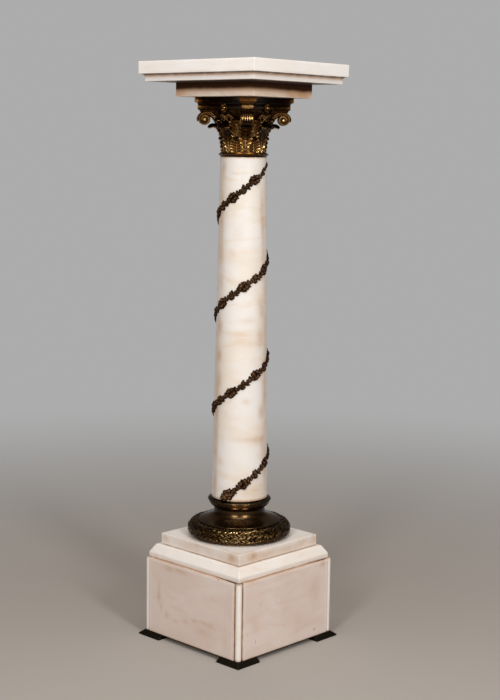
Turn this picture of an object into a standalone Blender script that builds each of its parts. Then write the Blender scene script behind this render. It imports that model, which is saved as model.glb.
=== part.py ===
"""A marble pedestal column with bronze mounts, 1.11 m tall, in metres with +Z up.

From the floor up: four bronze feet, a hollow box of four marble panels with a bead at each corner,
two marble slabs, a bronze ring of laurel under a flared bronze socket, a tapered marble shaft wound
with a bronze garland, a bronze leaf capital, a marble block and a square marble top.
The origin is on the floor, on the shaft's axis. The sides of the plinth face along X and Y.
"""

import math

import bmesh
import bpy
import numpy as np
from mathutils import Matrix, Vector

# Open joint between two pieces that touch
JOINT = 0.0003

# Plinth box: panels mitred at the corners, with each outer corner cut back for a bead
BOX_SIDE = 0.2603
PANEL_HEIGHT = 0.1490
PANEL_THICKNESS = 0.0200
CORNER_CUT = 0.0128
BEAD_RADIUS = 0.0059

# Feet under the corners of the box
FOOT_LENGTH = 0.0580
FOOT_HEIGHT = 0.0095
FOOT_PROUD = 0.0085
FOOT_TOE_HEIGHT = 0.0028

# Slabs over the box: a cap with a sloped edge, and a plain step
CAP_SIDE = 0.2488
CAP_HEIGHT = 0.0249
CAP_BAND_HEIGHT = 0.0090
CAP_SLOPE_RUN = 0.0098
STEP_SIDE = 0.2151
STEP_HEIGHT = 0.0216

# Laurel ring, a round section with flat beds, cut into overlapping leaves
RING_RADIUS = 0.1012
RING_TUBE_RADIUS = 0.0153
RING_BED_DEPTH = 0.0008
RING_LEAVES = 30
RING_LEAF_RELIEF = 0.0020

# Socket that holds the shaft
SOCKET_TENON_CLEARANCE = 0.0020
SOCKET_RIM_RADIUS = 0.0803
SOCKET_RIM_THICKNESS = 0.0022
SOCKET_FLARE_HEIGHT = 0.0244
SOCKET_NECK_RADIUS = 0.0497
SOCKET_LIP_RADIUS = 0.0615
SOCKET_HOLLOW_HEIGHT = 0.0110
SOCKET_LIP_HEIGHT = 0.0103
SHAFT_SEAT_DEPTH = 0.0080

# Shaft
SHAFT_LENGTH = 0.6623
SHAFT_FOOT_RADIUS = 0.0542
SHAFT_TOP_RADIUS = 0.0435

# Garland wound round the shaft; angles are counted from the corner at +X, -Y, and its bends are pairs
# of an angle in degrees and how far the garland is bent up there
GARLAND_START_DEG = -40.0
GARLAND_TURNS = 3.37
GARLAND_SWAY = 0.0073
GARLAND_BENDS = ((-40, 0.0), (0, 0.0), (60, 0.0025), (180, 0.0050), (300, 0.0090), (345, 0.0080),
                 (375, 0.0065), (395, 0.0070), (412, 0.0035), (440, 0.0060), (540, 0.0040),
                 (655, 0.0065), (690, 0.0090), (715, 0.0070), (742, 0.0065), (765, 0.0015),
                 (790, 0.0050), (900, 0.0050), (1015, 0.0080), (1050, 0.0055), (1085, 0.0035),
                 (1107, 0.0045), (1127, 0.0), (1145, 0.0030), (1173, 0.0))
GARLAND_FOOT_MARGIN = 0.0035
GARLAND_TOP_MARGIN = 0.0090
GARLAND_BED_GAP = 0.0005
GARLAND_SPRIGS = 22
GARLAND_STEM_HALF_WIDTH = 0.0026
GARLAND_STEM_HEIGHT = 0.0018

# Capital; the two leaf profiles and the scroll's stem are pairs of radius and height over its underside
TOP_TURN_DEG = 3.9
CAPITAL_HEIGHT = 0.1097
COLLAR_RADIUS = 0.0477
COLLAR_HEIGHT = 0.0095
BELL_FOOT_RADIUS = 0.0385
BELL_LIP_RADIUS = 0.0520
LOW_LEAF_THICKNESS = 0.0040
TALL_LEAF_THICKNESS = 0.0056
LOW_LEAVES = 8
LOW_LEAF_PROFILE = ((0.0408, 0.0088), (0.0422, 0.0180), (0.0432, 0.0275), (0.0444, 0.0335),
                    (0.0470, 0.0362))
TALL_LEAVES = 8
TALL_LEAF_PROFILE = ((0.0408, 0.0088), (0.0420, 0.0143), (0.0440, 0.0243), (0.0452, 0.0375),
                     (0.0495, 0.0490), (0.0552, 0.0541), (0.0608, 0.0546), (0.0652, 0.0522))
VOLUTE_STEM_EDGE = ((0.0410, 0.0400), (0.0450, 0.0490), (0.0495, 0.0578), (0.0555, 0.0655),
                    (0.0625, 0.0715), (0.0680, 0.0745))
VOLUTE_STEM_DEPTH = 0.0175
VOLUTE_EYE_RADIUS = 0.0741
VOLUTE_EYE_HEIGHT = 0.0688
VOLUTE_SIZE = 0.0134
VOLUTE_WIDTH = 0.0240
VOLUTE_PAD_INNER, VOLUTE_PAD_OUTER = 0.0580, 0.0840
VOLUTE_PAD_HALF_WIDTH = 0.0098
HORN_RADIUS = 0.0922
HORN_WIDTH = 0.0300
ABACUS_HEIGHT = 0.0233
ABACUS_TOP_BAND = 0.0126
ABACUS_COVE = 0.0042
ABACUS_STEP = 0.0058
ABACUS_HOLLOW = 0.0148
FLOWER_RADIUS = 0.0075

# Block and square top
BLOCK_SIDE = 0.1813
BLOCK_HEIGHT = 0.0270
TOP_SIDE = 0.2798
TOP_BAND_HEIGHT = 0.0229
TOP_COVE_STEP = 0.0024
TOP_COVE_RADIUS = 0.0060
TOP_FILLET_HEIGHT = 0.0075
SLAB_TURN_DEG = 4.6

# Fineness of the round pieces
TURNED_SIDES = 36
SHAFT_SIDES = 60
BEAD_SIDES = 10
ARC_STEPS = 3

# Heights from the floor, each piece bedded on the one below
BOX_FOOT = FOOT_HEIGHT + JOINT
BOX_TOP = BOX_FOOT + PANEL_HEIGHT
CAP_FOOT = BOX_TOP + JOINT
CAP_TOP = CAP_FOOT + CAP_HEIGHT
STEP_FOOT = CAP_TOP + JOINT
STEP_TOP = STEP_FOOT + STEP_HEIGHT
RING_FOOT = STEP_TOP + JOINT
RING_MIDDLE = RING_FOOT + RING_TUBE_RADIUS - RING_BED_DEPTH
RING_TOP = RING_MIDDLE + RING_TUBE_RADIUS - RING_BED_DEPTH
RING_CENTRE_RADIUS = RING_RADIUS - RING_TUBE_RADIUS
SOCKET_FOOT = STEP_TOP + JOINT
RIM_FOOT = RING_TOP + JOINT
RIM_TOP = RIM_FOOT + SOCKET_RIM_THICKNESS
NECK_HEIGHT = RIM_TOP + SOCKET_FLARE_HEIGHT
LIP_FOOT = NECK_HEIGHT + SOCKET_HOLLOW_HEIGHT
LIP_TOP = LIP_FOOT + SOCKET_LIP_HEIGHT
SHAFT_SEAT = LIP_TOP - SHAFT_SEAT_DEPTH
SHAFT_FOOT = SHAFT_SEAT + JOINT
SHAFT_TOP = SHAFT_FOOT + SHAFT_LENGTH
CAPITAL_FOOT = SHAFT_TOP + JOINT
CAPITAL_TOP = CAPITAL_FOOT + CAPITAL_HEIGHT
BLOCK_FOOT = CAPITAL_TOP + JOINT
BLOCK_TOP = BLOCK_FOOT + BLOCK_HEIGHT
SLAB_FOOT = BLOCK_TOP + JOINT
ABACUS_FOOT = CAPITAL_HEIGHT - ABACUS_HEIGHT

CORNERS = {"front_right": -45.0, "back_right": 45.0, "back_left": 135.0, "front_left": 225.0}
SIDES = {"front": 0.0, "right": 90.0, "back": 180.0, "left": 270.0}


# Helpers

def clear_scene():
    """Removes the objects that the scene starts with."""
    for thing in list(bpy.data.objects):
        bpy.data.objects.remove(thing, do_unlink=True)


def material(name, colour, roughness, metallic):
    """A plain finish with the piece's own colour."""
    finish = bpy.data.materials.new(name)
    finish.use_nodes = True
    shader = finish.node_tree.nodes["Principled BSDF"]
    shader.inputs["Base Color"].default_value = (*colour, 1.0)
    shader.inputs["Roughness"].default_value = roughness
    shader.inputs["Metallic"].default_value = metallic
    finish.diffuse_color = (*colour, 1.0)
    return finish


def solid(name, points, faces, finish=None, turn_deg=0.0, height=0.0, smooth_deg=None):
    """One named object from points and faces, turned about the axis and lifted to its height."""
    mesh = bpy.data.meshes.new(name)
    mesh.from_pydata([tuple(float(value) for value in point) for point in points], [], faces)
    shell = bmesh.new()
    shell.from_mesh(mesh)
    bmesh.ops.recalc_face_normals(shell, faces=shell.faces)
    shell.to_mesh(mesh)
    shell.free()
    if smooth_deg is not None:
        mesh.shade_smooth()
        mesh.set_sharp_from_angle(angle=math.radians(smooth_deg))
    piece = bpy.data.objects.new(name, mesh)
    piece.rotation_euler.z = math.radians(turn_deg)
    piece.location.z = height
    if finish:
        mesh.materials.append(finish)
    bpy.context.scene.collection.objects.link(piece)
    return piece


def lofted(rings, closed=False):
    """Points and faces through rings of equally many points, capped at both ends or closed on itself."""
    count, around = len(rings), len(rings[0])
    points = [point for ring in rings for point in ring]
    faces = []
    for level in range(count if closed else count - 1):
        above = (level + 1) % count
        for side in range(around):
            beside = (side + 1) % around
            faces.append((level * around + side, level * around + beside,
                          above * around + beside, above * around + side))
    if not closed:
        faces.append(tuple(range(around)))
        faces.append(tuple(range((count - 1) * around, count * around)))
    return points, faces


def merged(parts):
    """Several closed shapes as one list of points and faces."""
    points, faces = [], []
    for part_points, part_faces in parts:
        faces += [tuple(index + len(points) for index in face) for face in part_faces]
        points += list(part_points)
    return points, faces


def turned_about_axis(part, degrees):
    """A copy of a shape, turned about the column's axis."""
    points, faces = part
    turn = Matrix.Rotation(math.radians(degrees), 3, "Z")
    return [turn @ Vector(point) for point in points], faces


def square_ring(side, height):
    """The four corners of a level square."""
    half = side / 2
    return [(half, half, height), (-half, half, height), (-half, -half, height), (half, -half, height)]


def square_slab(name, levels, finish, height, turn_deg=0.0):
    """A square piece whose edge has the profile given as pairs of side and height."""
    points, faces = lofted([square_ring(side, level) for side, level in levels])
    return solid(name, points, faces, finish, turn_deg, height)


def turned(profile, sides):
    """A solid of revolution from a profile that runs up from the axis and back to it."""
    foot, *edge, top = profile
    angles = [2 * math.pi * step / sides for step in range(sides)]
    points = [(radius * math.cos(angle), radius * math.sin(angle), height)
              for radius, height in edge for angle in angles]
    faces = [(level * sides + step, level * sides + (step + 1) % sides,
              (level + 1) * sides + (step + 1) % sides, (level + 1) * sides + step)
             for level in range(len(edge) - 1) for step in range(sides)]
    last = (len(edge) - 1) * sides
    if foot[1] != edge[0][1] or top[1] != edge[-1][1]:
        raise ValueError("a turned profile starts and ends level with the axis")
    faces.append(tuple(range(sides)))
    faces.append(tuple(range(last, last + sides)))
    return points, faces


def arc(centre, radii, start_deg, end_deg, steps):
    """Points of an elliptical arc, both ends included."""
    found = []
    for step in range(steps + 1):
        angle = math.radians(start_deg + (end_deg - start_deg) * step / steps)
        found.append((centre[0] + radii[0] * math.cos(angle), centre[1] + radii[1] * math.sin(angle)))
    return found


def bezier(controls, share):
    """The point of a Bezier curve at a share of its way, by repeated halving between its controls."""
    points = [np.array(control, float) for control in controls]
    while len(points) > 1:
        points = [(1 - share) * one + share * other for one, other in zip(points, points[1:])]
    return points[0]


# Plinth

def make_feet(finish):
    """Four pads under the corners of the box, their two outer edges sloped down to a low toe."""
    outer = BOX_SIDE / 2
    toe = outer + FOOT_PROUD
    inner = toe - FOOT_LENGTH
    for corner, degrees in CORNERS.items():
        rings = [[(inner, inner, level), (edge, inner, level), (edge, edge, level), (inner, edge, level)]
                 for edge, level in ((toe, 0.0), (toe, FOOT_TOE_HEIGHT), (outer, FOOT_HEIGHT))]
        points, faces = lofted(rings)
        solid("foot_" + corner, points, faces, finish, degrees - 45.0)


def make_panels(finish):
    """Four panels, mitred behind the square cut that each outer corner has for its bead."""
    face = -BOX_SIDE / 2
    end = BOX_SIDE / 2 - CORNER_CUT
    cut = face + CORNER_CUT
    back = face + PANEL_THICKNESS
    slack = JOINT / math.sqrt(2)
    outline = [(-end, face), (end, face), (end, cut - slack), (-back - slack, back),
               (back + slack, back), (-end, cut - slack)]
    rings = [[(x, y, level) for x, y in outline] for level in (0.0, PANEL_HEIGHT)]
    points, faces = lofted(rings)
    for side, degrees in SIDES.items():
        solid("plinth_panel_" + side, points, faces, finish, degrees, BOX_FOOT)


def make_corner_beads(finish):
    """A round marble rod in the cut at each corner of the box."""
    points, faces = turned([(0.0, 0.0), (BEAD_RADIUS, 0.0), (BEAD_RADIUS, PANEL_HEIGHT),
                            (0.0, PANEL_HEIGHT)], BEAD_SIDES)
    place = BOX_SIDE / 2 - CORNER_CUT / 2
    for corner, degrees in CORNERS.items():
        bead = solid("corner_bead_" + corner, points, faces, finish, 0.0, BOX_FOOT, smooth_deg=40)
        angle = math.radians(degrees)
        bead.location.x = place * math.sqrt(2) * math.cos(angle)
        bead.location.y = place * math.sqrt(2) * math.sin(angle)


def make_plinth_slabs(finish):
    """The cap with its sloped edge, and the plain step on it."""
    square_slab("plinth_cap",
                [(CAP_SIDE, 0.0), (CAP_SIDE, CAP_BAND_HEIGHT),
                 (CAP_SIDE - 2 * CAP_SLOPE_RUN, CAP_HEIGHT)],
                finish, CAP_FOOT)
    square_slab("plinth_step", [(STEP_SIDE, 0.0), (STEP_SIDE, STEP_HEIGHT)], finish, STEP_FOOT)


# Column base

def make_laurel_ring(finish):
    """A ring of round section. Each row of leaves rises along the ring to its tips and drops to the next."""
    rows = {-62: 0.5, -22: 0.0, 22: 0.5, 62: 0.0}
    bed_deg = math.degrees(math.acos(1 - RING_BED_DEPTH / RING_TUBE_RADIUS))
    section = [(-90 - bed_deg, None), (-90 + bed_deg, None), *rows.items(),
               (90 - bed_deg, None), (90 + bed_deg, None), (180, None)]
    leaf_stations = (0.04, 0.40, 0.90)
    rings = []
    for leaf in range(RING_LEAVES):
        for station in leaf_stations:
            angle = 2 * math.pi * (leaf + station) / RING_LEAVES
            ring = []
            for section_deg, shift in section:
                sunk = 0.0 if shift is None else RING_LEAF_RELIEF * (1 - (station + shift) % 1.0)
                tube = RING_TUBE_RADIUS - sunk
                radius = RING_CENTRE_RADIUS + tube * math.cos(math.radians(section_deg))
                height = tube * math.sin(math.radians(section_deg))
                ring.append((radius * math.cos(angle), radius * math.sin(angle), height))
            rings.append(ring)
    points, faces = lofted(rings, closed=True)
    solid("laurel_ring", points, faces, finish, 0.0, RING_MIDDLE)


def make_socket(finish):
    """The flared socket: a tenon inside the ring, a rim on it, a hollow flare, a neck and a rolled lip."""
    tenon = RING_CENTRE_RADIUS - RING_TUBE_RADIUS - SOCKET_TENON_CLEARANCE
    bore = SHAFT_FOOT_RADIUS + JOINT
    flare_ends = [(SOCKET_RIM_RADIUS, RIM_TOP),
                  (SOCKET_NECK_RADIUS + 0.15 * (SOCKET_RIM_RADIUS - SOCKET_NECK_RADIUS),
                   RIM_TOP + 0.35 * SOCKET_FLARE_HEIGHT),
                  (SOCKET_NECK_RADIUS, NECK_HEIGHT)]
    flare = [tuple(bezier(flare_ends, step / 4)) for step in range(5)]
    hollow = arc((SOCKET_LIP_RADIUS, NECK_HEIGHT),
                 (SOCKET_LIP_RADIUS - SOCKET_NECK_RADIUS, SOCKET_HOLLOW_HEIGHT), 180, 90, ARC_STEPS)
    roll = arc((bore, LIP_FOOT), (SOCKET_LIP_RADIUS - bore, SOCKET_LIP_HEIGHT), 12, 90, ARC_STEPS)
    profile = [(0.0, SOCKET_FOOT), (tenon, SOCKET_FOOT), (tenon, RIM_FOOT), (SOCKET_RIM_RADIUS, RIM_FOOT)]
    profile += [*flare, *hollow[1:], *roll]
    profile += [(bore, SHAFT_SEAT), (0.0, SHAFT_SEAT)]
    points, faces = turned(profile, TURNED_SIDES)
    solid("shaft_socket", points, faces, finish, smooth_deg=35)


# Shaft and garland

def shaft_radius(height):
    """The shaft's radius at a height from the floor."""
    share = (height - SHAFT_FOOT) / SHAFT_LENGTH
    return SHAFT_FOOT_RADIUS + (SHAFT_TOP_RADIUS - SHAFT_FOOT_RADIUS) * share


def make_shaft(finish):
    """A plain tapered shaft."""
    points, faces = turned([(0.0, 0.0), (SHAFT_FOOT_RADIUS, 0.0), (SHAFT_TOP_RADIUS, SHAFT_LENGTH),
                            (0.0, SHAFT_LENGTH)], SHAFT_SIDES)
    solid("shaft", points, faces, finish, 0.0, SHAFT_FOOT, smooth_deg=35)


def garland_height(angle):
    """Height of the garland's middle line at an angle: a helix, faster across the front, and its bends."""
    start = math.radians(GARLAND_START_DEG)
    end = start + 2 * math.pi * GARLAND_TURNS
    low = LIP_TOP + GARLAND_FOOT_MARGIN
    climb = SHAFT_TOP - GARLAND_TOP_MARGIN - low
    steady = climb - GARLAND_SWAY * (math.sin(end) - math.sin(start))
    bend = np.interp(math.degrees(angle), *np.array(GARLAND_BENDS).T)
    sway = GARLAND_SWAY * (math.sin(angle) - math.sin(start))
    return low + steady * (angle - start) / (end - start) + sway + bend


# The forms of one sprig, as share along the sprig, then offset across, half length, half width and
# height in metres: two roses side by side, two leaves, a cluster of three leaves, and two leaves
SPRIG = (
    (0.08, 0.0050, 0.0066, 0.0056, 0.0040),
    (0.17, -0.0048, 0.0068, 0.0056, 0.0040),
    (0.33, 0.0042, 0.0060, 0.0042, 0.0028),
    (0.38, -0.0036, 0.0060, 0.0040, 0.0026),
    (0.53, 0.0048, 0.0056, 0.0050, 0.0036),
    (0.60, -0.0046, 0.0058, 0.0050, 0.0036),
    (0.75, 0.0036, 0.0060, 0.0042, 0.0028),
    (0.86, -0.0040, 0.0062, 0.0040, 0.0026),
)
SPRIG_STATIONS = 8


def garland_section(share_along, sprig_length, slimming):
    """Low edge, high edge and crest height of the garland at a share of the way along one sprig."""
    low, high, crest = -GARLAND_STEM_HALF_WIDTH, GARLAND_STEM_HALF_WIDTH, GARLAND_STEM_HEIGHT
    for place, across, half_length, half_width, height in SPRIG:
        for shift in (-1, 0, 1):
            away = (share_along - place + shift) * sprig_length / half_length
            if abs(away) < 1:
                spread = math.sqrt(1 - away * away)
                low = min(low, across - half_width * spread)
                high = max(high, across + half_width * spread)
                crest = max(crest, height * (0.55 + 0.45 * spread))
    return low * slimming, high * slimming, crest


def make_garland(finish):
    """A band of roses and leaves in low relief that follows the helix and fits the tapered shaft."""
    start = math.radians(GARLAND_START_DEG)
    total_angle = 2 * math.pi * GARLAND_TURNS
    stations = GARLAND_SPRIGS * SPRIG_STATIONS
    middle_radius = (SHAFT_FOOT_RADIUS + SHAFT_TOP_RADIUS) / 2
    rise = (garland_height(start + total_angle) - garland_height(start)) / total_angle
    slope = math.atan2(rise, middle_radius)
    length = total_angle * math.hypot(rise, middle_radius)
    sprig_length = length / GARLAND_SPRIGS
    corner = math.radians(CORNERS["front_right"])
    rings = []
    for station in range(stations + 1):
        angle = start + total_angle * station / stations
        height = garland_height(angle)
        from_foot, from_top = station / SPRIG_STATIONS, (stations - station) / SPRIG_STATIONS
        slimming = min(1.0, 0.55 + 2.0 * from_foot, 0.25 + from_top)
        low, high, crest = garland_section(station / SPRIG_STATIONS % 1.0, sprig_length, slimming)
        ring = []
        for across, lift in ((low, 0.0), (high, 0.0), (high * 0.8, 0.6 * crest),
                             ((low + high) / 2, crest), (low * 0.8, 0.6 * crest)):
            level = height + across * math.cos(slope)
            radius = shaft_radius(level) + GARLAND_BED_GAP + lift
            turn = corner + angle - across * math.sin(slope) / radius
            ring.append((radius * math.cos(turn), radius * math.sin(turn), level))
        rings.append(ring)
    points, faces = lofted(rings)
    solid("garland", points, faces, finish)


# Capital, in its own height counted from its underside

def bell_radius(height):
    """The bell's radius, which opens out towards the abacus."""
    share = (height - COLLAR_HEIGHT) / (ABACUS_FOOT - COLLAR_HEIGHT)
    return BELL_FOOT_RADIUS + (BELL_LIP_RADIUS - BELL_FOOT_RADIUS) * share ** 2.6


def bell():
    """The bell with its collar, a sharp-edged moulding at the neck."""
    rise = ABACUS_FOOT - COLLAR_HEIGHT
    levels = [COLLAR_HEIGHT + rise * share for share in (0.0, 0.60, 0.85, 1.0)]
    over = ABACUS_FOOT + 0.0010
    profile = [(0.0, 0.0), (SHAFT_TOP_RADIUS, 0.0), (COLLAR_RADIUS, 0.48 * COLLAR_HEIGHT),
               (COLLAR_RADIUS, 0.56 * COLLAR_HEIGHT), (SHAFT_TOP_RADIUS - 0.0008, COLLAR_HEIGHT)]
    profile += [(bell_radius(level), level) for level in levels]
    profile += [(BELL_LIP_RADIUS, over), (0.0, over)]
    return turned(profile, TURNED_SIDES)


def leaf(profile, half_widths, thickness):
    """A thick leaf on the +X side: its outer face follows the profile, its edges wrap round the bell.

    half_widths are the half widths at evenly spaced stations from root to tip, which give it its lobes.
    """
    line = np.array(profile)
    way = np.concatenate([[0.0], np.cumsum(np.linalg.norm(np.diff(line, axis=0), axis=1))])
    rings = []
    for number, half_width in enumerate(half_widths):
        share = number / (len(half_widths) - 1)
        places = [np.interp(np.clip(share + step, 0, 1) * way[-1], way, side) for step in (-0.02, 0.02)
                  for side in line.T]
        ahead = np.array([places[2] - places[0], places[3] - places[1]])
        outward = np.array([ahead[1], -ahead[0]]) / np.linalg.norm(ahead)
        middle = np.array([np.interp(share * way[-1], way, side) for side in line.T])
        ring = []
        back = thickness * (1 - 0.4 * share * share)
        for side, depth in ((-1, 0.4 * back), (0, 0.0), (1, 0.4 * back), (1, back), (0, back), (-1, back)):
            radius, height = middle - outward * depth
            angle = side * half_width / radius
            ring.append((radius * math.cos(angle), radius * math.sin(angle), height))
        rings.append(ring)
    return lofted(rings)


def low_leaves():
    """The row of short leaves, set between the tall ones."""
    one = leaf(LOW_LEAF_PROFILE, (0.0085, 0.0125, 0.0095, 0.0120, 0.0085, 0.0080, 0.0030),
               LOW_LEAF_THICKNESS)
    step = 360 / LOW_LEAVES
    return merged([turned_about_axis(one, step * (number + 0.5)) for number in range(LOW_LEAVES)])


def tall_leaves():
    """The row of tall leaves, four under the horns and four under the flowers of the abacus."""
    one = leaf(TALL_LEAF_PROFILE, (0.0060, 0.0080, 0.0085, 0.0135, 0.0105, 0.0125, 0.0085, 0.0035),
               TALL_LEAF_THICKNESS)
    step = 360 / TALL_LEAVES
    return merged([turned_about_axis(one, step * number) for number in range(TALL_LEAVES)])


def volute_stems():
    """The four stems that climb from the bell to the scrolls, solid up to the bell and the abacus."""
    path = [np.array(place) for place in VOLUTE_STEM_EDGE]
    rings = []
    for number, place in enumerate(path):
        along = path[min(number + 1, len(path) - 1)] - path[max(number - 1, 0)]
        inward = np.array([-along[1], along[0]]) / np.linalg.norm(along)
        half_width = VOLUTE_WIDTH / 2 * (0.50 + 0.08 * number)
        behind = place + inward * VOLUTE_STEM_DEPTH
        rings.append([(place[0], -half_width, place[1]), (place[0], half_width, place[1]),
                      (behind[0], half_width, behind[1]), (behind[0], -half_width, behind[1])])
    one = lofted(rings)
    return merged([turned_about_axis(one, 45 + 90 * number) for number in range(4)])


def volute_scrolls():
    """The four corner scrolls, each a drum with a raised rim and a knob on both faces."""
    half = VOLUTE_WIDTH / 2
    face = ((1.0, 0.28), (0.72, 0.58), (1.0, 0.80), (0.86, 1.0))
    outline = [(-out * half, size) for out, size in face] + [(out * half, size) for out, size in face[::-1]]
    rings = []
    for across, size in outline:
        rings.append([(VOLUTE_EYE_RADIUS + size * VOLUTE_SIZE * math.cos(angle), across,
                       VOLUTE_EYE_HEIGHT + size * VOLUTE_SIZE * math.sin(angle))
                      for angle in np.linspace(0, 2 * math.pi, 10, endpoint=False)])
    one = lofted(rings)
    return merged([turned_about_axis(one, 45 + 90 * number) for number in range(4)])


def volute_pads():
    """The four blocks that fill the gap between each scroll and the underside of the abacus."""
    rings = []
    for level in (VOLUTE_EYE_HEIGHT, ABACUS_FOOT + 0.0010):
        rings.append([(radius, side * VOLUTE_PAD_HALF_WIDTH, level)
                      for radius, side in ((VOLUTE_PAD_INNER, -1), (VOLUTE_PAD_OUTER, -1),
                                           (VOLUTE_PAD_OUTER, 1), (VOLUTE_PAD_INNER, 1))])
    one = lofted(rings)
    return merged([turned_about_axis(one, 45 + 90 * number) for number in range(4)])


def abacus_outline(inset, steps):
    """Plan of the abacus: four hollow sides between cut-off horns, all moved in by the inset."""
    horn, half_horn = HORN_RADIUS - inset, HORN_WIDTH / 2 - 0.8 * inset
    reach = (horn + half_horn) / math.sqrt(2)
    half_side = (horn - half_horn) / math.sqrt(2)
    outline = []
    for quarter in range(4):
        turn = Matrix.Rotation(quarter * math.pi / 2, 2)
        for step in range(steps + 1):
            along = -1 + 2 * step / steps
            depth = reach - ABACUS_HOLLOW * (1 - along * along)
            outline.append(turn @ Vector((depth, along * half_side)))
    return outline


def abacus():
    """The abacus: a cove under a flat edge, over a smaller rounded band."""
    top = CAPITAL_HEIGHT
    band_foot = top - ABACUS_TOP_BAND
    cove_top = top - 0.5 * ABACUS_TOP_BAND
    rings = []
    for inset, level in ((ABACUS_STEP + 0.0014, ABACUS_FOOT), (ABACUS_STEP, ABACUS_FOOT + 0.0060),
                         (ABACUS_STEP + 0.0014, band_foot - 0.0006), (ABACUS_COVE, band_foot + 0.0010),
                         (0.35 * ABACUS_COVE, cove_top - 0.0010), (0.0, cove_top), (0.0, top)):
        rings.append([(place.x, place.y, level) for place in abacus_outline(inset, 6)])
    return lofted(rings)


def abacus_flowers():
    """A flower on the middle of each side of the abacus, in four petals round a button."""
    side = (HORN_RADIUS + HORN_WIDTH / 2) / math.sqrt(2) - ABACUS_HOLLOW - ABACUS_STEP
    middle = ABACUS_FOOT + 0.0035
    rings = []
    for out, size in ((-0.0060, 0.70), (0.0010, 1.0), (0.0042, 0.70), (0.0064, 0.25)):
        ring = []
        for number in range(8):
            angle = math.pi * number / 4
            reach = size * FLOWER_RADIUS * (1.0 if number % 2 == 0 else 0.80)
            ring.append((side + out, reach * math.cos(angle), middle + reach * math.sin(angle)))
        rings.append(ring)
    one = lofted(rings)
    return merged([turned_about_axis(one, 90 * number) for number in range(4)])


def make_capital(finish):
    """The cast capital: the bell joined with its leaves, scrolls, abacus and flowers."""
    points, faces = bell()
    capital = solid("capital", points, faces, finish, TOP_TURN_DEG, CAPITAL_FOOT)
    forms = {"low_leaves": low_leaves(), "tall_leaves": tall_leaves(), "volute_stems": volute_stems(),
             "volute_scrolls": volute_scrolls(), "volute_pads": volute_pads(), "abacus": abacus(),
             "abacus_flowers": abacus_flowers()}
    for name, (form_points, form_faces) in forms.items():
        form = solid(name, form_points, form_faces, None, TOP_TURN_DEG, CAPITAL_FOOT)
        form.hide_render = True
        form.display_type = "WIRE"
        join = capital.modifiers.new(name, "BOOLEAN")
        join.operation = "UNION"
        join.solver = "EXACT"
        join.object = form


# Block and top

def make_block_and_top(finish):
    """The block on the capital, and the square top with a cove under its band."""
    square_slab("top_block", [(BLOCK_SIDE, 0.0), (BLOCK_SIDE, BLOCK_HEIGHT)],
                finish, BLOCK_FOOT, TOP_TURN_DEG)
    cove_top = TOP_FILLET_HEIGHT + TOP_COVE_RADIUS
    cove_reach = TOP_SIDE / 2 - TOP_COVE_STEP
    cove = arc((cove_reach, TOP_FILLET_HEIGHT), (TOP_COVE_RADIUS, TOP_COVE_RADIUS), 180, 90, ARC_STEPS)
    levels = [(2 * (cove_reach - TOP_COVE_RADIUS), 0.0)]
    levels += [(2 * reach, level) for reach, level in cove]
    levels += [(TOP_SIDE, cove_top), (TOP_SIDE, cove_top + TOP_BAND_HEIGHT)]
    square_slab("top_slab", levels, finish, SLAB_FOOT, SLAB_TURN_DEG)


def main():
    clear_scene()
    marble = material("white_marble", (0.84, 0.78, 0.71), 0.32, 0.0)
    bronze = material("cast_bronze", (0.30, 0.20, 0.09), 0.38, 1.0)
    dark_bronze = material("dark_bronze", (0.06, 0.05, 0.04), 0.50, 1.0)
    make_feet(dark_bronze)
    make_panels(marble)
    make_corner_beads(marble)
    make_plinth_slabs(marble)
    make_laurel_ring(bronze)
    make_socket(bronze)
    make_shaft(marble)
    make_garland(dark_bronze)
    make_capital(bronze)
    make_block_and_top(marble)


main()
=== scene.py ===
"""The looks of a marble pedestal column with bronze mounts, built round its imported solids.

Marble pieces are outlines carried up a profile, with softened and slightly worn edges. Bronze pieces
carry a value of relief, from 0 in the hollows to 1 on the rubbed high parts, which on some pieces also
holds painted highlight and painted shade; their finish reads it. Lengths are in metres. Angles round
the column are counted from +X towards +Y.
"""
import math

import bmesh
import bpy
import numpy as np
from mathutils import Matrix, Vector


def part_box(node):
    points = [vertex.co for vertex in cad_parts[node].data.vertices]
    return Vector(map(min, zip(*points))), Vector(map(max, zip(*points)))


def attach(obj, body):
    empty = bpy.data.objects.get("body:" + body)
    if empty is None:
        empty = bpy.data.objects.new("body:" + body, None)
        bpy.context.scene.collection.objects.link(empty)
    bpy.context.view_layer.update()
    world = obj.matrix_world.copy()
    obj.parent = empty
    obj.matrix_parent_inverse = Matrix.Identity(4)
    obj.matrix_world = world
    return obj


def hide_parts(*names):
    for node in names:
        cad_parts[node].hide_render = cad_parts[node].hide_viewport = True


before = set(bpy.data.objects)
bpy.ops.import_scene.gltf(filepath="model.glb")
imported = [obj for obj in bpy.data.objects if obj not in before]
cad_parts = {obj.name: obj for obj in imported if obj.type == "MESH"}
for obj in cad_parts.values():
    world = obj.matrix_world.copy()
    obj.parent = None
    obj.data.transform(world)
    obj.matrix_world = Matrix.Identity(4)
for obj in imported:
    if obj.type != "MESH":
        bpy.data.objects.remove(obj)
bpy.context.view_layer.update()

# The camera, fitted to the corners of the feet, plinth and top in the photograph
IMAGE_WIDTH, IMAGE_HEIGHT = 500, 700
FOCAL_PIXELS = 1429.7
SENSOR = 36.0
CAMERA_DISTANCE = 2.7236
CAMERA_HEIGHT = 0.9669
CAMERA_AZIMUTH = 44.63
CAMERA_PITCH = 8.294
CAMERA_ROLL = 0.735
CAMERA_YAW = 0.358
# The height that the lights look at
LIGHT_AIM = 0.55

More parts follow.
